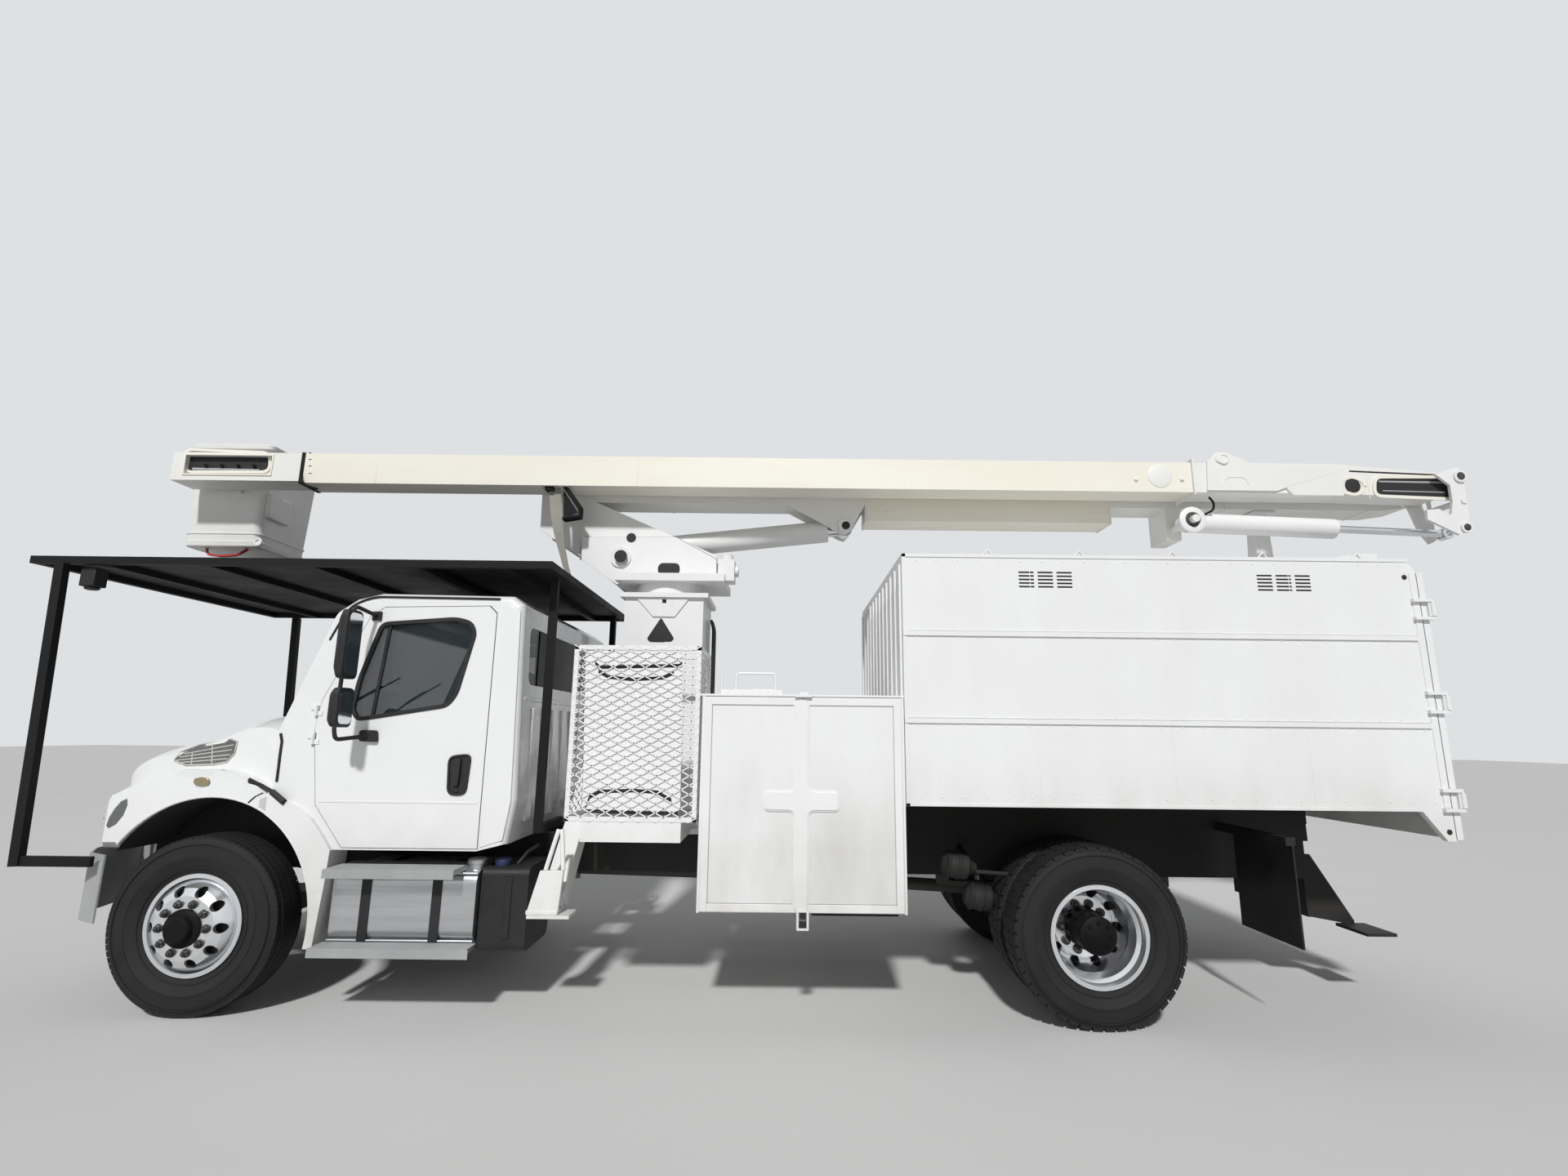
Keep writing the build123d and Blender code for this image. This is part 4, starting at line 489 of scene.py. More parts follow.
# offset from the tyre's middle, half width, skew and radius of each row of blocks
FRONT_ROWS = [(-0.098, 0.018, 0.0, 0.5195), (-0.052, 0.022, 0.006, 0.5235),
              (0, 0.022, -0.006, 0.5235), (0.052, 0.022, 0.006, 0.5235),
              (0.098, 0.018, 0.0, 0.5195)]
REAR_ROWS = [(-0.095, 0.028, 0.02, 0.5205), (-0.03, 0.024, -0.02, 0.5235),
             (0.03, 0.024, 0.02, 0.5235), (0.095, 0.028, -0.02, 0.5205)]
# radius, distance from the tyre's middle and thickness of each rib
SIDEWALL_RIBS = ((0.335, 0.118, 0.004), (0.475, 0.1345, 0.0035), (0.40, 0.1385, 0.002))


def tread(name, body, station, rows, y_list, blocks, filled):
    """Blocks round each tyre, over the filled share of each row."""
    piece = Piece(name, body, RUBBER)
    pitch = 2 * pi / blocks
    for y in y_list:
        for offset, half, skew, radius in rows:
            for k in range(blocks):
                corners = [(edge, (k + end * filled) * pitch + edge * skew)
                           for edge, end in ((-1, 0), (-1, 1), (1, 1), (1, 0))]
                piece.loft([[(station + r * cos(t), y + offset + edge * half,
                              TYRE_R + r * sin(t)) for edge, t in corners]
                            for r in (radius - 0.02, radius)])
        for radius, out, thick in SIDEWALL_RIBS:
            for edge in (-out, out):
                piece.tube([(x, y + edge, z) for x, z in circle(radius, 72, station, TYRE_R)],
                           thick, 6, closed=True)
    piece.done()


for side, name in SIDES:
    tread("tread_front_" + name, "front_wheel_" + name, FRONT, FRONT_ROWS, [side * 1.04],
          84, 0.93)
    tread("tread_rear_" + name, "rear_wheels_" + name, REAR, REAR_ROWS,
          [side * 1.08, side * 0.74], 44, 0.8)

# Wheels: black hubs, dark nuts, painted shade behind the hand holes and a bright edge ring

ACROSS = (0, 1, 0)               # towards the piece's own side
HUB_BOLTS_R, NUTS_R, EDGE_R, HAND_HOLES_R = 0.076, 0.1429, 0.297, (0.155, 0.238)
FRONT_HUB = [(0.112, 1.2275), (0.112, 1.238), (0.098, 1.246), (0.080, 1.250), (0.078, 1.272),
             (0.068, 1.285), (0.03, 1.289), (0.012, 1.290)]
REAR_HUB = [(0.121, 0.9385), (0.121, 1.02), (0.113, 1.03), (0.113, 1.168), (0.095, 1.1795),
            (0.05, 1.182), (0.03, 1.190), (0.01, 1.191)]
NUT_RINGS = (([(0.026, 0), (0.026, 0.006), (0.020, 0.008)], 20),
             ([(0.0205, 0.004), (0.0205, 0.0225), (0.0165, 0.0265)], 6),
             ([(0.011, 0.02), (0.011, 0.034), (0.008, 0.036)], 12))
# name, body, station, and how far out the disc, the painted shade and the rim's edge lie
WHEELS = (("front", "front_wheel_", FRONT, 1.2281, 1.158, 1.152),
          ("rear", "rear_wheels_", REAR, 0.9381, 0.86, 1.192))
for side, name in SIDES:
    for label, body, station, disc_y, dark_y, edge_y in WHEELS:
        end = "_%s_%s" % (label, name)
        hub = Piece("hub" + end, body + name, HUB_BLACK, side)
        hub.disc((station, 0, TYRE_R), ACROSS, FRONT_HUB if label == "front" else REAR_HUB, 48)
        if label == "rear":
            for x, z in circle(HUB_BOLTS_R, 8, station, TYRE_R):
                hub.bolt((x, 1.179, z), ACROSS, 0.009, 0.011)
        hub.done(0.002)
        nuts = Piece("nuts" + end, body + name, NUT_METAL, side)
        for x, z in circle(NUTS_R, 10, station, TYRE_R):
            for profile, sides in NUT_RINGS:
                nuts.disc((x, disc_y, z), ACROSS, profile, sides)
        nuts.done(0.001)
        inner, outer = (circle(r, 60, station, TYRE_R) for r in HAND_HOLES_R)
        Piece("wheel_shade" + end, body + name, DARK, side).loft(
            [[(x, y, z) for x, z in ring] for ring, y in (
                (inner, dark_y), (outer, dark_y), (outer, dark_y + 0.002),
                (inner, dark_y + 0.002))], looped=True).done()
        Piece("rim_edge" + end, body + name, CHROME, side, "polished_aluminium").tube(
            [(x, edge_y, z) for x, z in circle(EDGE_R, 72, station, TYRE_R)], 0.004, 8,
            closed=True).done()

# Rear: pintle hook on the plate, its bolts, lamps in rubber rings

REAR_FACE = 7.325
LAMP_Y, TAIL_LAMP_Z = (0.30, 0.20), 0.90
ALONG = (1, 0, 0)
pintle = Piece("pintle_hook", "chassis", CAST)
pintle.box((REAR_FACE, REAR_FACE + 0.022), (-0.075, 0.075), (0.64, 0.76))
pintle.tube(rounded_path([(REAR_FACE + 0.01, 0, 0.672), (7.41, 0, 0.655), (7.465, 0, 0.69),
                          (7.460, 0, 0.75)], 0.03), 0.022, 12)
pintle.tube(rounded_path([(REAR_FACE + 0.01, 0, 0.74), (7.39, 0, 0.775), (7.455, 0, 0.768)],
                         0.03), 0.018, 12)
lenses = Piece("tail_lamps", "chassis", RED)
for side, _ in SIDES:
    pintle.side = lenses.side = side
    for z in (0.66, 0.74):
        pintle.bolt((REAR_FACE + 0.022, 0.055, z), ALONG, 0.013, 0.012)
    for y in LAMP_Y:
        pintle.disc((REAR_FACE, y, TAIL_LAMP_Z), ALONG, [(0.058, 0), (0.058, 0.016),
                                                         (0.047, 0.018)])
        lenses.disc((REAR_FACE + 0.014, y, TAIL_LAMP_Z), ALONG,
                    [(0.046, 0), (0.045, 0.009), (0.03, 0.013), (0.0, 0.014)])
    pintle.tube([(REAR_FACE + out, y, 0.56) for out, y in
                 ((0.006, 0.13), (0.05, 0.13), (0.05, 0.20), (0.006, 0.20))], 0.010, 8)
pintle.done(0.002)
lenses.done()

# Chip body: rope hooks, edge trim, seams, roof plate, underseal, rivets and vent slots

BODY_Y = 1.22
BODY_X = (4.36, 7.70)
FLOOR_Z, ROOF_Z = 1.274, 2.885
SILL_Y = 0.432
HOOKS_X = (4.94, 5.55, 6.17, 6.775, 7.40)
RIB_Z = (1.798, 2.355)
VENTS = ((5.129, 2.664), (6.695, 2.659))
trim = Piece("chip_body_trim", "chassis", BODY_WHITE)
sill = Piece("chip_body_underseal", "chassis", CHASSIS_BLACK)
rivets = Piece("chip_body_rivets", "chassis", BODY_WHITE)
holes = Piece("chip_body_bolts", "chassis", DARK)
for side, _ in SIDES:
    trim.side = sill.side = rivets.side = holes.side = side
    for x in HOOKS_X:
        trim.tube([(x - 0.045, BODY_Y - 0.04, 2.875), (x, BODY_Y - 0.04, 2.925),
                   (x + 0.045, BODY_Y - 0.04, 2.875)], 0.008, 8)
    for x0, x1, z0, z1 in ((BODY_X[0], BODY_X[1], 2.862, ROOF_Z),
                           (BODY_X[0], 7.55, FLOOR_Z, 1.292),
                           (BODY_X[0], 4.385, FLOOR_Z, ROOF_Z)):
        trim.box((x0, x1), (BODY_Y, BODY_Y + 0.006), (z0, z1))
    trim.box((7.695, 7.735), (BODY_Y, BODY_Y + 0.005), (1.30, 2.79))
    for z in RIB_Z:
        trim.box((4.385, 7.69), (BODY_Y, BODY_Y + 0.004), (z + 0.018, z + 0.026))
    for x in (5.2, 6.05, 6.9):
        trim.box((x, x + 0.004), (BODY_Y - 0.001, BODY_Y + 0.0015), (1.30, 2.86))
    sill.box((4.376, 7.364), (SILL_Y + 0.0005, SILL_Y + 0.004), (1.108, FLOOR_Z))
    for z in (1.33, 1.77, 1.83, 2.33, 2.385, 2.84):
        for k in range(24):
            rivets.disc((4.45 + k * 0.139, BODY_Y, z), ACROSS,
                        [(0.007, 0), (0.006, 0.0025), (0.002, 0.004)], 8)
    for x, z in ((7.665, 2.76), (7.705, 1.155)):
        holes.disc((x, BODY_Y, z), ACROSS, [(0.016, 0), (0.016, 0.004), (0.012, 0.007)], 16)
    # Painted shade: a dark block behind each vent's slots.
    for x, z in VENTS:
        holes.box((x - 0.01, x + 0.36), (1.19, 1.2165), (z - 0.01, z + 0.12))
trim.side = sill.side = 1
trim.prism([(7.06, 2.88), (7.50, 2.88), (7.50, 2.945)], -1.12, -0.70)
trim.box((7.50, 7.59), (-1.12, -0.70), (2.87, 2.945))
trim.box((4.40, 7.70), (-0.02, 0.02), (2.87, 2.895))
trim.done(0.002)
sill.box((BODY_X[0], 7.55), (-1.212, 1.212), (FLOOR_Z - 0.003, FLOOR_Z - 0.0005)).done()
rivets.done()
holes.done(0.001)

# Tool cabinets: door panels, locking bar with its cross arm, latch, and what lies on top

CABINET_Y = 1.2163
DOOR_Z = (0.646, 1.931)
PANEL_GAP = 0.047                # from the door's edge to the thin line round its panel
LINE = 0.004
BAR_X, BAR_HALF, ARM, ARM_Z = 3.709, 0.050, 0.235, (1.233, 1.362)
BAR = rounded([(BAR_X - BAR_HALF, 0.65), (BAR_X + BAR_HALF, 0.65),
               (BAR_X + BAR_HALF, ARM_Z[0]), (BAR_X + ARM, ARM_Z[0]), (BAR_X + ARM, ARM_Z[1]),
               (BAR_X + BAR_HALF, ARM_Z[1]), (BAR_X + BAR_HALF, 1.928),
               (BAR_X - BAR_HALF, 1.928), (BAR_X - BAR_HALF, ARM_Z[1]),
               (BAR_X - ARM, ARM_Z[1]), (BAR_X - ARM, ARM_Z[0]),
               (BAR_X - BAR_HALF, ARM_Z[0])], 0.035, 5)
for side, name in SIDES:
    y = CABINET_Y
    for label, outer_x, inner_x, inward in (("front", 3.092, 3.709, 1),
                                            ("rear", 4.338, 3.719, -1)):
        end = "_%s_%s" % (label, name)
        door = Piece("cabinet_panel" + end, "box_door" + end, STEEL_WHITE, side)
        line = Piece("cabinet_line" + end, "box_door" + end, BUMPER, side)
        edge_x = outer_x + inward * PANEL_GAP
        door.box((outer_x, edge_x), (y, y + 0.006), DOOR_Z)
        for z in (DOOR_Z[0], DOOR_Z[1] - PANEL_GAP):
            door.box((edge_x, inner_x), (y, y + 0.006), (z, z + PANEL_GAP))
        low, high = DOOR_Z[0] + PANEL_GAP, DOOR_Z[1] - PANEL_GAP
        line.box((edge_x, edge_x + inward * LINE), (y, y + 0.002), (low, high))
        for z in (low, high - LINE):
            line.box((edge_x, inner_x), (y, y + 0.002), (z, z + LINE))
        line.done()
        if label == "rear":
            door.prism(BAR, y, y + 0.007)
            door.prism(inset(BAR, 0.010), y + 0.006, y + 0.013)
            door.frame([(3.682, 0.548), (3.758, 0.548), (3.758, 0.665), (3.682, 0.665)], 0.014,
                       y + 0.004, y + 0.024)
            door.box((3.665, 3.772), (y - 0.01, y + 0.03), (1.933, 1.950))
            door.box((3.69, 3.75), (y - 0.02, y + 0.022), (1.948, 1.968))
            latch = Piece("cabinet_latch_" + name, "box_door" + end, DARK, side)
            latch.box((3.698, 3.742), (y + 0.008, y + 0.02), (0.563, 0.60))
            latch.box((3.702, 3.738), (y + 0.006, y + 0.018), (0.612, 0.645)).done(0.002)
        door.done(0.003)
    top = Piece("cabinet_top_" + name, "chassis", STEEL_WHITE, side)
    top.box((3.06, 4.36), (0.61, 1.215), (1.938, 1.952))
    top.box((3.183, 3.583), (0.86, 1.13), (1.95, 1.985))
    top.tube(rounded_path([(3.274, 1.0, 1.98), (3.274, 1.0, 2.10), (3.537, 1.0, 2.10),
                           (3.537, 1.0, 1.98)], 0.03), 0.009)
    top.tube([(3.178, 1.0, 1.95), (3.178, 1.0, 2.08)], 0.008)
    for k in range(7):
        top.box((3.21 + k * 0.052, 3.235 + k * 0.052), (1.13, 1.134), (1.956, 1.978))
    for x in (3.075, 4.342):
        top.box((x, x + 0.015), (0.62, 1.214), (0.637, 1.94))
    top.done(0.002)
    under = Piece("cabinet_runner_" + name, "chassis", CHASSIS_BLACK, side)
    under.box((3.78, 4.32), (1.0, 1.08), (0.598, 0.636))
    for x in (3.4, 4.1):
        under.box((x, x + 0.05), (0.44, 1.0), (0.60, 0.636))
    under.done(0.003)

# Mesh basket on the left: angle frame, expanded metal and the panel stowed behind it

BASKET_X, BASKET_Y, BASKET_Z = (2.24, 3.06), (-1.218, -0.61), (1.16, 2.255)
(x0, x1), (y0, y1), (z0, z1) = BASKET_X, BASKET_Y, BASKET_Z
BAR_WIDE = 0.03
ends_x, ends_y, ends_z = (((a, a + BAR_WIDE), (b - BAR_WIDE, b))
                          for a, b in (BASKET_X, BASKET_Y, BASKET_Z))
angles = Piece("basket_frame", "chassis", STEEL_WHITE)
for y in ends_y:
    for x in ends_x:
        angles.box(x, y, BASKET_Z)
    for z in ends_z:
        angles.box(BASKET_X, y, z)
for z in ends_z:
    for x in ends_x:
        angles.box(x, BASKET_Y, z)
angles.done(0.002)
PANEL_Y = -1.2105
PANEL_PX = ((717, 797), (836, 799), (833, 994), (713, 992))
PANEL_SHADE_PX = (((729, 812), (735, 817), (832, 815), (835, 812)),
            ((733, 822), (745, 829), (775, 832), (812, 830), (825, 824)),
            ((717, 988), (722, 976), (735, 969), (775, 968), (805, 970), (822, 980)),
            ((717, 993), (775, 995), (830, 996)))
Piece("basket_panel", "chassis", STEEL_WHITE).prism(
    rounded(px_outline(PANEL_PX, PANEL_Y), 0.03, 3), PANEL_Y, PANEL_Y + 0.004).done(0.001)
# Painted shade: dark bands along the panel's top and bottom edges and its curved lines.
shade_lines = Piece("basket_panel_slots", "chassis", DARK)
for pixels in PANEL_SHADE_PX:
    for dz in (-0.008, -0.003, 0.003, 0.008):
        shade_lines.tube([(x, PANEL_Y - 0.001, z + dz) for x, z in px_outline(pixels, PANEL_Y)],
                   0.003, 6)
shade_lines.done()


def expanded(piece, origin, along, up, length, tall, pitch=(0.052, 0.028)):
    """Diamond strands over a flat panel from its corner."""
    origin, along, up = Vector(origin), Vector(along), Vector(up)
    across = along.cross(up)
    columns = round(length / pitch[0])
    rows = round(tall / pitch[1])
    half_w, half_h = along * (length / columns / 2), up * (tall / rows / 2)
    for i in range(columns):
        for j in range(rows):
            mid = origin + half_w * (2 * i + 1) + half_h * (2 * j + 1)
            reach = half_w + half_h if (i + j) % 2 else half_w - half_h
            broad = reach.normalized().cross(across).normalized() * 0.0035
            deep = across * 0.002
            section = (-broad - deep, broad - deep, broad + deep, deep - broad)
            piece.loft([[tip + corner for corner in section]
                        for tip in (mid - reach, mid + reach)], caps=False)


basket_mesh = Piece("basket_mesh", "chassis", STEEL_WHITE)
expanded(basket_mesh, (x0, y0, z0), (1, 0, 0), (0, 0, 1), x1 - x0, z1 - z0)
for x in (x0 + 0.003, x1 - 0.003):
    expanded(basket_mesh, (x, y0, z0), (0, 1, 0), (0, 0, 1), y1 - y0, z1 - z0)
expanded(basket_mesh, (x0, y0, z0 + 0.006), (1, 0, 0), (0, 1, 0), x1 - x0, y1 - y0)
basket_mesh.done(stands_for=("basket",))

# Under the frame: drive shaft, an air tank on the right, brake chambers on the rear axle

shaft = Piece("driveshaft", "chassis", CAST)
for a, b in (((1.28, 0, 0.70), (3.28, 0, 0.655)), ((3.34, 0, 0.652), (5.26, 0, 0.56))):
    shaft.tube([a, b], 0.046, 20)
for x, z in ((1.31, 0.70), (3.31, 0.653), (5.20, 0.563)):
    shaft.disc((x - 0.05, 0, z), ALONG, [(0.05, 0), (0.062, 0.02), (0.062, 0.04),
                                         (0.035, 0.05), (0.062, 0.06), (0.062, 0.08),
                                         (0.05, 0.10)], 20)
shaft.box((3.28, 3.34), (-0.09, 0.09), (0.64, 0.76)).done(0.004)
TANK_X, TANK_Y, TANK_Z = (4.55, 5.02), 0.62, 0.80
long = TANK_X[1] - TANK_X[0]
air = Piece("air_tanks", "chassis", CHASSIS_BLACK)
air.disc((TANK_X[0], TANK_Y, TANK_Z), ALONG,
         [(0.04, 0), (0.10, 0.02), (0.115, 0.06), (0.115, long - 0.06), (0.10, long - 0.02),
          (0.04, long)], 28)
for x in (TANK_X[0] + 0.10, TANK_X[1] - 0.12):
    air.box((x, x + 0.03), (TANK_Y - 0.02, 0.41), (0.905, 0.93))
    air.tube([(x + 0.015, y, z) for y, z in circle(0.118, 24, TANK_Y, TANK_Z)], 0.006, 6,
             closed=True)
air.done(0.003)
BRAKE_PROFILE = [(0.03, -0.06), (0.05, -0.02), (0.078, 0.0), (0.082, 0.05), (0.088, 0.055),
                 (0.088, 0.065), (0.080, 0.07), (0.080, 0.12), (0.088, 0.125), (0.088, 0.135),
                 (0.078, 0.14), (0.05, 0.17), (0.02, 0.175)]
brakes = Piece("brake_chambers", "chassis", CHASSIS_BLACK)
for brakes.side in (-1, 1):
    for x, y, z in ((4.84, 0.80, 0.83), (5.00, 0.74, 0.62)):
        brakes.disc((x - 0.02, y, z + 0.02), (-1, 0, 0.15), BRAKE_PROFILE, 28)
        brakes.tube([(x - 0.10, y, z), (x + 0.36, y, z - 0.03)], 0.014, 10)
        brakes.tube([(x + 0.02, y, z), (x + 0.02, 0.40, z + 0.10)], 0.022, 10)
brakes.done(0.002)

# Hood: vents, lamp sides, markers, latches and shut lines, laid on the skin by the
# photograph, and the lips and liners of the arches

LAMP_SIDE_PX = ((156, 978), (156, 986), (151, 998), (142, 1009), (133, 1014), (130.5, 1011),
                (134, 1001), (141, 990), (149, 981))
VENT_PX = ((214, 931), (222, 921), (246, 912), (284, 905), (291, 908), (288, 922), (278, 933),
           (262, 936), (228, 937))
VENT_BARS_PX = (((227, 923), (287, 912)), ((221, 927), (285, 918)), ((217, 931), (283, 924)),
                ((219, 934), (279, 929)), ((237, 917), (235, 936)), ((261, 911), (260, 935)))
MARKER_PX = ((238, 957), (240, 953), (248, 951.5), (256, 953), (258, 957), (256, 961),
             (248, 962.5), (240, 961))
LATCH_PX = ((305, 957), (318, 963), (332, 971), (349, 982))
FENDER_SEAM_PX = ((304, 983), (312, 976), (322, 971))
HOOD_REAR_PX = ((344, 898), (345.5, 908), (343, 925), (341, 942), (339, 957))
HOOD_AND_CAB = "hood cab_shell"
LINER_THIN = 0.994               # the liner's inner face, as a share of its outer one


def surface_patch(piece, pixels, lift):
    """A thin patch that follows the hood's skin inside an outline of pixels."""
    n = len(pixels)
    cu, cv = (sum(values) / n for values in zip(*pixels))
    points = [px_hit("hood", u, v, -0.004) for u, v in pixels]
    for share in (1, 0.75, 0.5, 0.25):
        points += [px_hit("hood", cu + (u - cu) * share, cv + (v - cv) * share, lift)
                   for u, v in pixels]
    points.append(px_hit("hood", cu, cv, lift))
    fan = [(4 * n + k, 4 * n + (k + 1) % n, 5 * n) for k in range(n)]
    return piece.add(points, ring_faces(n, 5) + fan + [tuple(range(n))])


for side, name in SIDES:
    vent = Piece("hood_vent_" + name, "hood", GRILLE, side)
    vent.tube([px_hit("hood", u, v, 0.002) for u, v in VENT_PX], 0.006, closed=True)
    for (u0, v0), (u1, v1) in VENT_BARS_PX:
        vent.tube([px_hit("hood", u0 + (u1 - u0) * t / 4, v0 + (v1 - v0) * t / 4, 0.003)
                   for t in range(5)], 0.0045, 8)
    vent.done()
    surface_patch(Piece("vent_shade_" + name, "hood", GREY_PLASTIC, side), VENT_PX,
                  0.0035).done()
    surface_patch(Piece("lamp_side_" + name, "hood", GREY_PLASTIC, side), LAMP_SIDE_PX,
                  0.003).done()
    Piece("marker_lamp_" + name, "hood", BRASS, side).loft(
        [[px_hit("hood", u, v, lift) for u, v in MARKER_PX] for lift in (0, 0.012)]).done(0.003)
    latch = Piece("hood_latch_" + name, "hood", PLASTIC, side)
    strap = [px_hit(HOOD_AND_CAB, u, v, 0.008) for u, v in LATCH_PX]
    latch.tube(strap, 0.014)
    latch.tube(strap[2:], 0.019)
    latch.tube([strap[0] + Vector((-0.005, 0, 0.010)), strap[1]], 0.012, 8).done(0.001)
    Piece("hood_seam_" + name, "hood", DARK, side).tube(
        [px_hit("hood", u, v) for u, v in FENDER_SEAM_PX], 0.005, 6).done()
    Piece("cowl_seam_" + name, "chassis", DARK, side).tube(
        [px_hit(HOOD_AND_CAB, u, v, 0.001) for u, v in HOOD_REAR_PX], 0.009, 8).done()
    Piece("fender_lip_" + name, "hood", CAB_WHITE, side).tube(
        [(x, 1.143, z) for x, z in arc(0.703, 0.760, TYRE_R, 38, 4, 27)], 0.009, 8).done()
    arch = arc(0.694, 0.751, TYRE_R, 37.5, 4.5, 25)
    liner = Piece("fender_liner_" + name, "hood", DARK, side)
    liner.loft([[(x * s, y, TYRE_R + (z - TYRE_R) * s) for y, s in (
        (0.69, 1), (1.118, 1), (1.118, LINER_THIN), (0.69, LINER_THIN))] for x, z in arch])
    liner.prism([(0.55, 0.965)] + [p for p in arch if p[1] > 0.965] + [(-0.55, 0.965)],
                0.688, 0.692).done()
    arch = arc(0.696, 0.753, TYRE_R, -8, 5, 10)
    Piece("quarter_liner_" + name, "chassis", DARK, side).prism(
        arch + [(x * LINER_THIN, TYRE_R + (z - TYRE_R) * LINER_THIN)
                for x, z in reversed(arch)], 0.72, 1.118).done()

# Headlamps: two large bright bowls and a small one behind each lens

LAMP_LINE = ((-0.905, 0.690), (-0.645, 1.150))       # the lens, from its inner to outer end
LAMP_OUT = (-0.8706, 0.4921)                         # straight out of the lens
LAMP_Z = 1.148
for side, name in SIDES:
    bowls = Piece("lamp_bowls_" + name, "hood", CHROME, side)
    for share, r in ((0.30, 0.062), (0.60, 0.062), (0.80, 0.030)):
        x, y = (a + (b - a) * share + out * 0.0235
                for a, b, out in zip(*LAMP_LINE, LAMP_OUT))
        bowls.disc((x, y, LAMP_Z), (*LAMP_OUT, 0),
                   [(r, 0), (r, 0.007), (r * 0.88, 0.007), (r * 0.5, 0.003), (r * 0.25, 0.003),
                    (r * 0.2, 0.008), (0.0, 0.009)])
    bowls.done()

# Cab: door handle, window gasket and divider, swage, corner, gutter, rear wall, wipers

DOOR_Y = 1.134
WINDOW = rounded([(0.843, 1.761), (0.797, 1.833), (0.826, 2.033), (0.933, 2.394),
                  (1.426, 2.433), (1.526, 2.406), (1.56, 2.336), (1.474, 1.935),
                  (1.418, 1.856)], 0.05, 5)
DIVIDER_PX = ((453, 877), (457, 877), (480, 764), (476, 764))
HANDLE = rounded([(1.455, 1.545), (1.607, 1.562), (1.592, 1.30), (1.468, 1.30)], 0.05)
GRIP = rounded([(1.50, 1.53), (1.545, 1.535), (1.54, 1.36), (1.505, 1.36)], 0.02)
for side, name in SIDES:
    body = "door_" + name
    handle = Piece("door_handle_" + name, body, PLASTIC, side)
    handle.frame(HANDLE, 0.014, DOOR_Y, DOOR_Y + 0.010)
    handle.prism(inset(HANDLE, 0.012), DOOR_Y - 0.001, DOOR_Y + 0.002)
    handle.prism(GRIP, DOOR_Y + 0.004, DOOR_Y + 0.026)
    handle.disc((1.525, DOOR_Y, 1.33), ACROSS, [(0.014, 0), (0.014, 0.008), (0.010, 0.010)],
                20).done(0.003)
    gasket = Piece("window_gasket_" + name, body, PLASTIC, side)
    gasket.frame(inset(WINDOW, -0.008), 0.026, DOOR_Y - 0.008, DOOR_Y + 0.006)
    gasket.prism(px_outline(DIVIDER_PX, -DOOR_Y), DOOR_Y - 0.02, DOOR_Y - 0.004).done(0.002)
    Piece("door_swage_" + name, body, CAB_WHITE, side).box(
        (0.66, 1.66), (DOOR_Y - 0.001, DOOR_Y + 0.003), (1.25, 1.262)).done(0.001)
    Piece("cab_corner_" + name, "chassis", CAB_WHITE, side).prism(
        [(1.70, 0.985), (1.84, 1.03), (1.875, 1.27), (1.842, 2.49), (1.72, 2.55)],
        1.128, 1.135).done(0.004)
    Piece("roof_gutter_" + name, "chassis", PLASTIC, side).tube(rounded_path(
        [(0.60, 1.131, 2.28), (0.70, 1.133, 2.50), (0.85, 1.133, 2.572), (1.70, 1.133, 2.565)],
        0.1), 0.007).done()
back = Piece("cab_back_details", "chassis", CAB_WHITE)
for k in range(9):
    y = -0.9 + k * 0.225
    back.box((1.878, 1.90), (y, y + 0.09), (1.12, 1.86))
back.box((1.865, 1.885), (-1.05, 1.05), (1.90, 1.93)).done(0.006)
back = Piece("cab_back_handle", "chassis", PLASTIC)      # two vents and the window's frame
for y in (-1.03, 1.03):
    back.box((1.876, 1.884), (y - 0.032, y + 0.032), (1.50, 1.70))
back.frame([(1.84, 2.0), (1.862, 2.0), (1.862, 2.41), (1.84, 2.41)], 0.004, -0.76,
           0.76).done(0.001)
wipers = Piece("wipers", "chassis", PLASTIC)
for y in (-0.62, 0.10):
    wipers.tube([(0.36, y, 1.765), (0.43, y + 0.24, 1.94), (0.468, y + 0.42, 2.03)], 0.008, 8)
    wipers.tube([(0.43, y + 0.10, 1.88), (0.505, y + 0.62, 2.11)], 0.007, 8)
    wipers.disc((0.352, y, 1.755), (-0.35, 0, 1), [(0.02, 0), (0.02, 0.03), (0.012, 0.035)],
                16)
wipers.done()

# Mirrors: rounded heads on a bowed arm

MIRROR_Y = 1.38
MIRROR_SHELL = ((0.905, 0.75), (0.90, 1.0), (0.86, 1.0), (0.838, 0.8), (0.832, 0.5))
for side, name in SIDES:
    mirror = Piece("mirror_heads_" + name, "door_" + name, PLASTIC, side)
    glass = Piece("mirror_glass_" + name, "door_" + name, CHROME, side)
    for z0, z1 in ((2.01, 2.44), (1.715, 1.955)):
        mid = (z0 + z1) / 2
        ring = rounded([(-0.085, z0), (0.085, z0), (0.085, z1), (-0.085, z1)], 0.045)
        mirror.loft([[(x, MIRROR_Y + a * scale, mid + (b - mid) * scale) for a, b in ring]
                     for x, scale in MIRROR_SHELL])
        ring = rounded([(-0.07, z0 + 0.02), (0.07, z0 + 0.02), (0.07, z1 - 0.02),
                        (-0.07, z1 - 0.02)], 0.04)
        glass.loft([[(x, MIRROR_Y + a, b) for a, b in ring] for x in (0.9045, 0.907)])
    mirror.tube(rounded_path([(0.90, 1.137, 2.44), (0.86, 1.33, 2.475), (0.845, 1.345, 2.40),
                              (0.825, 1.34, 1.70), (0.835, 1.33, 1.64), (0.94, 1.137, 1.665)],
                             0.05), 0.013)
    mirror.box((0.87, 0.93), (1.134, 1.15), (2.41, 2.47))
    mirror.prism(rounded([(0.88, 1.63), (1.0, 1.625), (0.99, 1.70), (0.88, 1.70)], 0.02),
                 1.134, 1.16)
    mirror.done(0.002, stands_for=("mirror_" + name,))
    glass.done()

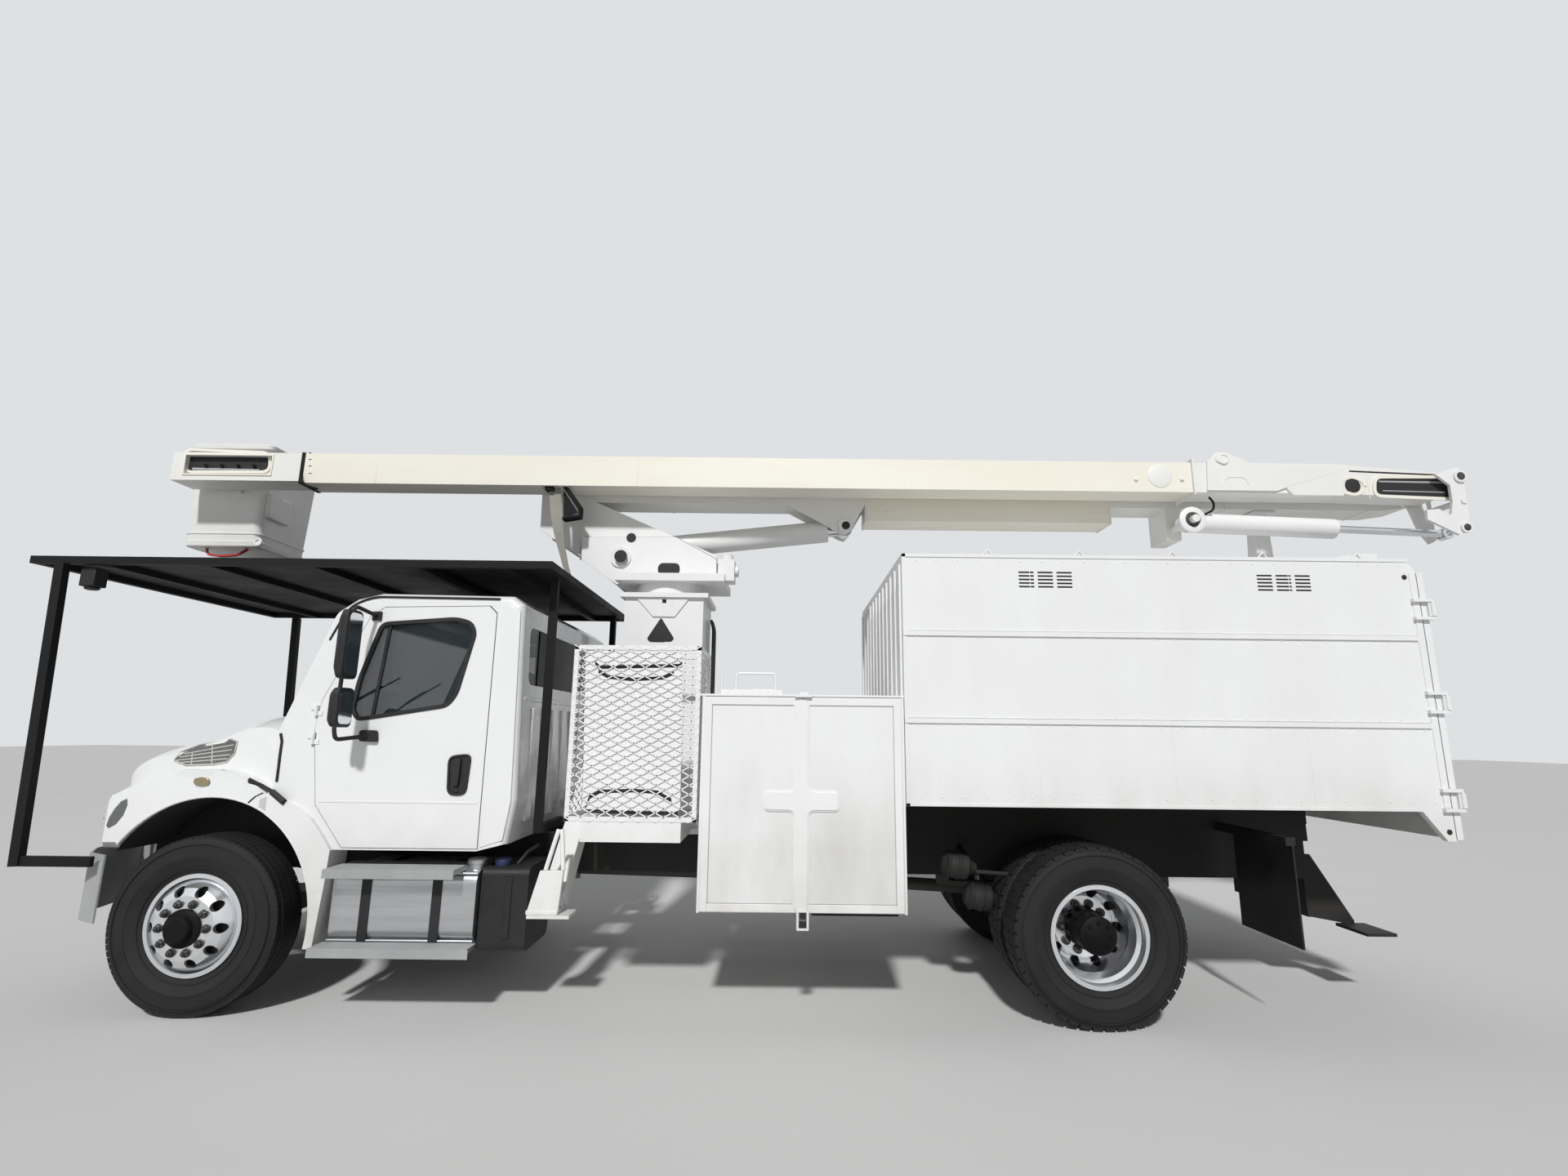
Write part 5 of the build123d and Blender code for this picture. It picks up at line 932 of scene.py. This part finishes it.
# Fuel tanks: straps, cap and rims, treads on the steps, and the fluid tank's strap and cap

UPWARDS = (0, 0, 1)
# ends, top and sides of each step
STEPS = ((0.80, 1.60, 0.865, 1.045, 1.238), (0.77, 1.73, 0.42, 1.11, 1.248))
for side, name in SIDES:
    straps = Piece("tank_straps_" + name, "chassis", PLASTIC, side)
    for x in (0.98, 1.42):
        straps.box((x, x + 0.06), (1.098, 1.106), (0.425, 0.84))
        straps.box((x, x + 0.06), (0.48, 1.104), (0.838, 0.846))
    straps.box((1.715, 1.72), (0.5, 1.06), (0.42, 0.80)).done(0.002)
    treads = Piece("step_treads_" + name, "chassis", BUMPER, side)
    for x0, x1, z, y0, y1 in STEPS:
        for k in range(9):
            y = y0 + (y1 - y0) * (k + 0.5) / 9
            treads.box((x0 + 0.01, x1 - 0.01), (y - 0.004, y + 0.004), (z, z + 0.006))
        treads.box((x0, x1), (y1 - 0.002, y1 + 0.004), (z - 0.05, z + 0.004))
    treads.done(0.001)
    caps = Piece("tank_cap_" + name, "chassis", TANK_ALLOY, side)
    caps.disc((1.64, 0.98, 0.84), UPWARDS, [(0.055, 0), (0.055, 0.03), (0.062, 0.032),
                                            (0.062, 0.055), (0.05, 0.065)], 28)
    for z in (0.432, 0.828):
        caps.tube([(0.795, 1.098, z), (1.695, 1.098, z)], 0.008, 8)
    caps.done(0.001)
fluid = Piece("fluid_tank_strap", "chassis", PLASTIC)
fluid.box((1.86, 1.90), (-1.068, -1.058), (0.44, 0.80))
fluid.tube([(1.885, -0.95, 0.86), (1.93, -0.90, 0.93), (1.97, -0.80, 0.96)], 0.012,
           8).done(0.004)
Piece("fluid_tank_cap", "chassis", CAP_BLUE).disc((1.80, -0.97, 0.85), UPWARDS, [
    (0.045, 0), (0.05, 0.01), (0.05, 0.045), (0.040, 0.055)], 24).done(0.002)

# Seats: crowned cushions over the solid seats

RINGS, AROUND, CROWN = 14, 40, 0.25


def cushion(name, centre, half, tilt=0.0):
    """A crowned closed form; its sides pull in between the corners."""
    def bow(value):
        return abs(value) ** CROWN * (1 if value > 0 else -1)

    rings = []
    for i in range(RINGS + 1):
        a = -pi / 2 + pi * i / RINGS
        ring = []
        for b in (2 * pi * k / AROUND for k in range(AROUND)):
            x, y = half[0] * bow(cos(a)) * bow(cos(b)), half[1] * bow(cos(a)) * bow(sin(b))
            z = half[2] * bow(sin(a))
            pull = 1 - 0.03 * (1 - abs(x / half[0])) - 0.03 * (1 - abs(y / half[1]))
            z *= 1.12 - 0.12 * max(abs(x / half[0]), abs(y / half[1])) ** 2
            x, y = x * pull, y * pull
            ring.append((centre[0] + x * cos(tilt) + z * sin(tilt), centre[1] + y,
                         centre[2] - x * sin(tilt) + z * cos(tilt)))
        rings.append(ring)
    obj = Piece(name, "chassis", VINYL).loft(rings, caps=False).done(smooth=60)


SEAT_TILT = 0.22                 # lean of the seat backs, in radians
for side, name in SIDES:
    cushion("seat_base_" + name, (1.32, side * 0.56, 1.362), (0.272, 0.278, 0.082))
    cushion("seat_back_" + name, (1.583, side * 0.56, 1.752), (0.080, 0.268, 0.366), SEAT_TILT)

# Upper boom: collar, boss, patch, bolts, windows in its steel end, controls at the tip

BOOM_FACE, STEEL_FACE, TIP_FACE = -0.322, -0.312, -0.284     # its left faces
COVER_FACE, PLATE_FACE = -0.325, -0.340
RECESS_Y, PANE_Y, RAIL_Y = -0.311, -0.3145, -0.29
LEFT = (0, -1, 0)
BOSS_PX, PATCH_PX = (1496, 563), (1420.5, 585)
BOLTS_U, BOLTS_V = (1391, 1447), 587
HOLE_PX = (1656, 595)
WINDOW_PX = ((1684, 586), (1779, 586), (1780, 610), (1684, 606))
TIP_SLOT_PX = ((228, 552), (330, 556), (330, 577), (228, 577))
SEAMS_U, SEAM_V = (1634, 1677), (579, 611)
INSIDE_PX = ((1690, 604), (1774, 590))
POCKET_PX = ((1497, 595), (1498, 588), (1503, 584), (1520, 584), (1526, 587), (1529, 593))
COVER_PX = ((1583, 607), (1640, 572))
RAIL_PX = ((236, 574), (318, 576))
SEAL_PX = ((1652, 577), (1768, 582))
MARK_U, MARKS_V = 378, (555, 563, 571, 580)
BOOM = "upper_boom"
collar = Piece("boom_collar", BOOM, BLACK)
collar.box((-0.315, -0.285), (-0.328, -0.072), (3.630, 3.892))
collar.tube(rounded_path([(-0.30, -0.33, 3.72), (-0.27, -0.36, 3.64), (-0.22, -0.36, 3.60),
                          (-0.14, -0.34, 3.58)], 0.05), 0.010).done(0.004)
plates = Piece("boom_plates", BOOM, BOOM_WHITE)
x, z = px_plane(*BOSS_PX, BOOM_FACE)
plates.disc((x, -0.338, z), LEFT, [(0.045, 0), (0.045, 0.012), (0.03, 0.014), (0.03, 0.008),
                                   (0.0, 0.008)])
plates.disc((px_plane(*PATCH_PX, BOOM_FACE)[0], BOOM_FACE, 3.77), LEFT,
            [(0.098, 0), (0.098, 0.003), (0.09, 0.006), (0.0, 0.006)], 40)
for u in BOLTS_U:
    x, z = px_plane(u, BOLTS_V, BOOM_FACE)
    plates.bolt((x, BOOM_FACE, z), LEFT, 0.016, 0.014)
plates.box((6.85, 6.862), (-0.346, -0.054), (3.612, 3.910))
for x in (0.3, 2.4, 4.6):
    plates.box((x, x + 0.003), (-0.3235, -0.0765), (3.6345, 3.8875))
plates.done(0.003)
window = rounded(px_outline(WINDOW_PX, STEEL_FACE), 0.05)
slot = rounded(px_outline(TIP_SLOT_PX, TIP_FACE), 0.06, 6)
x, z = px_plane(*HOLE_PX, STEEL_FACE)
# Dark glass in the round window; painted shade inside the steel end's window and in the tip's
# slot.
glass_and_shade = Piece("boom_windows", BOOM, DARK)
glass_and_shade.disc((x, STEEL_FACE - 0.0005, z), LEFT, [(0.060, 0), (0.060, 0.006), (0.05, 0.007)], 28)
glass_and_shade.prism(window, PANE_Y, RECESS_Y)
glass_and_shade.prism(slot, TIP_FACE, TIP_FACE + 0.003).done()
rims = Piece("boom_window_rims", BOOM, BOOM_CREAM)
rims.frame(inset(window, -0.024), 0.026, BOOM_FACE, RECESS_Y)
rims.frame([(x + 0.112 * a, z + 0.084 * b) for a, b in circle(1, 32)], 0.028, -0.3185,
           RECESS_Y)
rims.frame(inset(slot, -0.020), 0.022, -0.296, -0.281)
rims.frame([(-1.256, 3.69), (-0.538, 3.69), (-0.538, 3.87), (-1.256, 3.87)], 0.012,
           -0.330, -0.32)
for dx in (-0.088, 0.098):
    rims.bolt((x + dx, -0.3185, z), LEFT, 0.009, 0.008)
for u in SEAMS_U:
    (_, high), (x, low) = (px_plane(u, v, STEEL_FACE) for v in SEAM_V)
    rims.box((x, x + 0.006), (-0.316, RECESS_Y), (low, high))
rims.done(0.002)
(x0, z0), (x1, z1) = px_outline(INSIDE_PX, PANE_Y)
inside = Piece("boom_window_inside", BOOM, BUMPER)
inside.prism(rounded([(x0, z1 - 0.01), (x1, z1 - 0.015), (x1, z1), (x0, z1 + 0.003)], 0.01),
             -0.3165, PANE_Y)
inside.tube([(x0 + 0.02, -0.3155, z0 + 0.02), (x1 - 0.05, -0.3155, z0 + 0.012)], 0.006,
            8).done()
(x0, z0), (x1, z1) = px_outline(COVER_PX, COVER_FACE)
Piece("boss_plate_cover", BOOM, BOOM_WHITE).prism(
    [(x0, z0), (x1, z0), (x1, z1 - 0.02), (x1 - 0.02, z1), (x0 - 0.20, z1)],
    -0.3365, RECESS_Y).done(0.003)
Piece("boss_plate_pocket", BOOM, BOOM_WHITE).tube(
    [(x, -0.338, z) for x, z in px_outline(POCKET_PX, PLATE_FACE)], 0.005, 8).done()
Piece("tip_handrail", BOOM, TANK_ALLOY).tube(
    [(x, -0.286, z) for x, z in px_outline(RAIL_PX, RAIL_Y)], 0.012, 12).done()
levers = Piece("boom_tip_levers", BOOM, PLASTIC)
for k in range(4):
    levers.disc((-1.10 + k * 0.13, TIP_FACE, 3.78), (0, -1, 0.2),
                [(0.014, 0), (0.010, 0.02), (0.014, 0.034), (0.008, 0.04)], 14)
levers.done()
Piece("boom_end_seal", BOOM, DARK).tube(
    [(x, -0.305, z) for x, z in px_outline(SEAL_PX, STEEL_FACE)], 0.010, 8).done()
marks = Piece("boom_scale_marks", BOOM, BLACK)
for v in MARKS_V:
    x, z = px_plane(MARK_U, v, BOOM_FACE)
    marks.box((x, x + 0.022), (-0.3235, -0.3215), (z, z + 0.006))
marks.done()

# Elbow: pins of the yoke, the levelling cylinder's eye and port

bosses = Piece("yoke_pins", "yoke", STEEL_WHITE)
ends = Piece("yoke_pin_ends", "yoke", CAST)
for x, z, r in ((8.95, 3.77, 0.052), (8.934, 3.349, 0.046)):
    bosses.disc((x, -0.38, z), LEFT, [(r, 0), (r, 0.014), (r * 0.62, 0.015), (r * 0.62, 0.008),
                                      (0.0, 0.008)], 28)
    ends.disc((x, -0.388, z), LEFT, [(r * 0.55, 0), (r * 0.55, 0.009), (r * 0.4, 0.011)], 24)
bosses.done(0.002)
ends.done(0.001)
EYE_X, EYE_Z = 6.852, 3.421
Piece("levelling_cylinder_bands", "fold_barrel", STEEL_WHITE).disc(
    (EYE_X, -0.262, EYE_Z), LEFT, [(0.105, 0), (0.108, 0.016), (0.10, 0.022), (0.062, 0.024),
                                   (0.060, 0.006), (0.0, 0.006)], 40).done(0.002)
pin = Piece("levelling_cylinder_pin", "fold_barrel", CAST)
pin.disc((EYE_X, -0.267, EYE_Z), LEFT, [(0.057, 0), (0.057, 0.010), (0.050, 0.013)])
for t in (0.3, 0.3 + pi / 3, 0.3 + 2 * pi / 3):
    pin.tube([(EYE_X + r * cos(t), -0.281, EYE_Z + r * sin(t)) for r in (-0.045, 0.045)],
             0.004, 6)
pin.done()
Piece("levelling_cylinder_port", "fold_barrel", BLACK).tube(rounded_path(
    [(6.96, -0.25, 3.47), (7.02, -0.29, 3.50), (7.02, -0.30, 3.56), (6.98, -0.31, 3.60)],
    0.04), 0.009).done()

# Lower boom: steel bands, bolts, fibreglass cover, the clevis with its pins and hole

CLEVIS_HOLE_PX, CLEVIS_Y = (1036, 643), 0.0
bands = Piece("lower_boom_bands", "lower_boom", BOOM_WHITE)
for x in (4.26, 6.32):
    bands.box((x, x + 0.014), (0.014, 0.306), (3.462, 3.936))
for x in (1.76, 2.6, 7.3, 8.5):
    bands.box((x, x + 0.012), (0.015, 0.305), (3.60, 3.935))
for x in (4.33, 4.45, 6.18, 6.27):
    for z in (3.55, 3.86):
        bands.bolt((x, 0.02, z), LEFT, 0.012, 0.010)
bands.done(0.002)
x, z = px_plane(*CLEVIS_HOLE_PX, CLEVIS_Y)
# Painted shade: a flat dark disc in the clevis's hole.
Piece("clevis_holes", "lower_boom", DARK).disc(
    (x, 0.0035, z), LEFT, [(0.034, 0), (0.034, 0.0015), (0.030, 0.002)], 24).done()
Piece("lower_boom_cover", "lower_boom", BOOM_CREAM).box(
    (4.275, 6.318), (0.0185, 0.3015), (3.4685, 3.932)).done(0.004)
pins = Piece("clevis_pins", "lower_boom", STEEL_WHITE)
pins.disc((4.096, 0.02, 3.421), LEFT, [(0.062, 0), (0.062, 0.016), (0.035, 0.018),
                                       (0.035, 0.010), (0.0, 0.010)], 28)
pins.disc((4.0, 0.02, 3.41), LEFT, [(0.03, 0), (0.03, 0.008), (0.0, 0.008)], 24).done(0.001)

# Turret and pedestal: bolt rings, bosses, motor, painted shade at the plate edge and openings,
# hoses

POST_X = 2.655                   # middle of the pedestal
PEDESTAL_FACE, TURRET_FACE = -0.3065, -0.0565
OVAL_PX, OVAL_Y = (819, 697), -0.056
# pixel, radius and plane of each round opening; corners and bend of each in the pedestal
ROUND_PX = ((760, 681, 0.052, -0.105), (773, 658.5, 0.040, TURRET_FACE))
POST_HOLES_PX = ((((809.5, 756), (825.5, 782), (822, 786), (795, 786), (792, 782)), 0.015),
                 (((804, 731), (813.5, 731), (813.5, 740.5), (804, 740.5)), 0.012))
tur = Piece("turret_details", "turret", STEEL_WHITE)
tur.disc((1.65, -0.02, 3.80), LEFT, [(0.075, 0), (0.075, 0.018), (0.04, 0.02), (0.04, 0.01),
                                     (0.0, 0.01)])
for t in (pi * (k + 0.5) / 20 for k in range(20)):
    tur.bolt((POST_X + 0.30 * cos(t), 0.30 * sin(t), 2.928), UPWARDS, 0.013, 0.014)
tur.disc((3.125, -0.165, 3.06), UPWARDS, [(0.05, 0), (0.05, 0.05), (0.03, 0.06)], 28)
tur.tube([(3.19, -0.165, 2.98), (3.22, -0.165, 2.98)], 0.045, 20).done(0.003)
# Painted shade: a grey line where the plate's edge meets the cheek.
Piece("turret_plate_edge", "turret", BUMPER).tube(
    [(1.900, -0.0225, 3.095), (1.901, -0.0225, 3.284), (2.684, -0.0225, 3.296),
     (3.032, -0.0225, 3.106)], 0.006, 8).done()
# Painted shade: flat dark patches in the turret's slot and round holes.
opening_shade = Piece("turret_openings", "turret", DARK)
x, z = px_plane(*OVAL_PX, OVAL_Y)
opening_shade.prism(rounded([(x - 0.090, z - 0.046), (x + 0.090, z - 0.046), (x + 0.090, z + 0.046),
                        (x - 0.090, z + 0.046)], 0.042), TURRET_FACE - 0.001, TURRET_FACE)
for u, v, r, y in ROUND_PX:
    x, z = px_plane(u, v, y)
    opening_shade.disc((x, y, z), LEFT, [(r, 0), (r, 0.001)], 28)
opening_shade.done()
post = Piece("pedestal_details", "chassis", STEEL_WHITE)
for x, y in circle(0.285, 24, POST_X):
    post.bolt((x, y, 2.77), UPWARDS, 0.011, 0.012)
for post.side in (-1, 1):
    post.prism([(2.335, 1.02), (2.975, 1.02), (2.90, 1.10), (2.41, 1.10)], 0.305, 0.317)
post.done(0.003)
# Painted shade in the pedestal's triangular and square holes.
opening_shade = Piece("pedestal_openings", "chassis", DARK)
for pixels, radius in POST_HOLES_PX:
    opening_shade.prism(rounded(px_outline(pixels, PEDESTAL_FACE), radius), PEDESTAL_FACE,
                   PEDESTAL_FACE + 0.001)
opening_shade.done()
hoses = Piece("pedestal_hoses", "chassis", PLASTIC)
for y in (0.08, 0.13, 0.18, 0.23):
    hoses.tube(rounded_path([(2.985, y, 2.62), (3.005, y, 2.55), (3.005, y, 1.8),
                             (3.005, y, 1.12), (2.985, y, 1.05)], 0.04), 0.011, 8)
hoses.done()

# Outrigger legs: wider shoe above each pad, the lock arms over it

for side, name in SIDES:
    shoe = Piece("outrigger_shoe_" + name, "outrigger_leg_" + name, STEEL_WHITE, side)
    shoe.prism([(2.03, 0.607), (2.225, 0.607), (2.245, 0.86), (2.10, 0.86)], 1.135, 1.165)
    shoe.box((2.03, 2.225), (1.05, 1.172), (0.605, 0.63))
    for x0, x1 in ((2.13, 2.185), (2.24, 2.205)):
        shoe.tube([(x0, 1.150, 0.86), (x1, 1.110, 1.10)], 0.014)
    shoe.done(0.004)

# Bucket: rolled lip and moulded bands, step, lug and lead

BUCKET_X, BUCKET_Y = -1.116, 0.31
BUCKET_LOW, BUCKET_TALL = 3.185, 0.885
tub = Piece("bucket_bands", "bucket", BUCKET_WHITE)
for levels in (
        ((4.02, -0.002), (4.025, 0.022), (4.055, 0.024), (4.068, 0.012), (4.068, -0.014),
         (4.05, -0.016)),
        ((3.285, -0.002), (3.290, 0.006), (3.300, 0.006), (3.305, -0.002)),
        ((3.183, -0.02), (3.190, 0.004), (3.230, 0.006), (3.240, -0.002))):
    rings = []
    for z, grow in levels:
        flare = 0.03 * (z - BUCKET_LOW) / BUCKET_TALL + grow
        dx, dy = 0.305 + flare, 0.31 + flare
        corners = [(BUCKET_X - dx, BUCKET_Y - dy), (BUCKET_X + dx, BUCKET_Y - dy),
                   (BUCKET_X + dx, BUCKET_Y + dy), (BUCKET_X - dx, BUCKET_Y + dy)]
        rings.append([(x, y, z) for x, y in rounded(corners, 0.065, 5)])
    tub.loft(rings, caps=False)
tub.done()
Piece("bucket_step", "bucket", BUCKET_WHITE).box((-0.80, -0.768), (0.02, 0.30),
                                                 (3.44, 3.66)).done(0.02)
Piece("bucket_lug", "bucket", STEEL_WHITE).disc(
    (-0.79, -0.012, 3.22), LEFT, [(0.035, 0), (0.035, 0.012), (0.018, 0.013), (0.018, 0.004),
                                  (0.0, 0.004)], 20).done(0.001)
Piece("bucket_lead", "bucket", RED).tube(rounded_path(
    [(-1.30, 0.10, 3.185), (-1.25, 0.06, 3.125), (-1.11, 0.03, 3.105), (-1.00, 0.06, 3.125),
     (-0.95, 0.10, 3.185)], 0.05), 0.012, 8).done()

# Guard: work lamp near the left post

guard = Piece("guard_lamp", "chassis", PLASTIC)
guard.box((-1.10, -1.00), (-1.16, -1.06), (2.62, 2.745))
guard.disc((-1.05, -1.11, 2.62), (0, 0, -1), [(0.04, 0), (0.045, 0.012), (0.03, 0.02)],
           24).done(0.01)

# Tie-down of the upper boom: webbing strap with its hook, and the angle bracket it passes

STRAP_Y, BRACKET_Y = -0.262, -0.25
# front and rear edge (u), then v, of the strap's bends
STRAP_PX = ((672, 686, 591), (672.5, 687, 606), (673.5, 688.5, 622), (675.5, 689, 638),
            (678, 690, 652), (681.5, 691, 666), (685.5, 694, 680), (688.5, 696, 692),
            (692.5, 699, 703), (697, 702, 713))
BRACKET_PX = ((691, 594), (711, 623), (711, 633), (691, 636))
GUSSET_PX = ((690, 600), (708, 628), (690, 634))
HOOK_PX = (699, 712)
rings = []
for u_front, u_rear, v in STRAP_PX:
    (x0, z0), (x1, z1) = px_outline(((u_front, v), (u_rear, v)), STRAP_Y)
    rings.append([(x0, STRAP_Y, z0), (x1, STRAP_Y, z1), (x1, STRAP_Y + 0.003, z1),
                  (x0, STRAP_Y + 0.003, z0)])
Piece("tie_down_strap", BOOM, WEBBING).loft(rings).done(smooth=80)
bracket = Piece("tie_down_bracket", BOOM, BLACK)
corners = px_outline(BRACKET_PX, BRACKET_Y)
for y in (-0.275, -0.225):
    bracket.tube([(x, y, z) for x, z in corners], 0.018, 8)
bracket.prism(px_outline(GUSSET_PX, BRACKET_Y), -0.252, -0.248)
bracket.box((1.655, 1.72), (-0.30, -0.22), (3.605, 3.637))
for x, z in corners[1:]:
    bracket.tube([(x, -0.278, z), (x, -0.222, z)], 0.012, 8)
x, z = px_plane(*HOOK_PX, STRAP_Y)
bracket.tube(rounded_path([(x + dx, STRAP_Y, z + dz) for dx, dz in (
    (-0.02, 0.06), (0.02, 0.02), (0.03, -0.02), (0, -0.03), (-0.02, -0.01))], 0.012), 0.009,
    8).done(0.001)
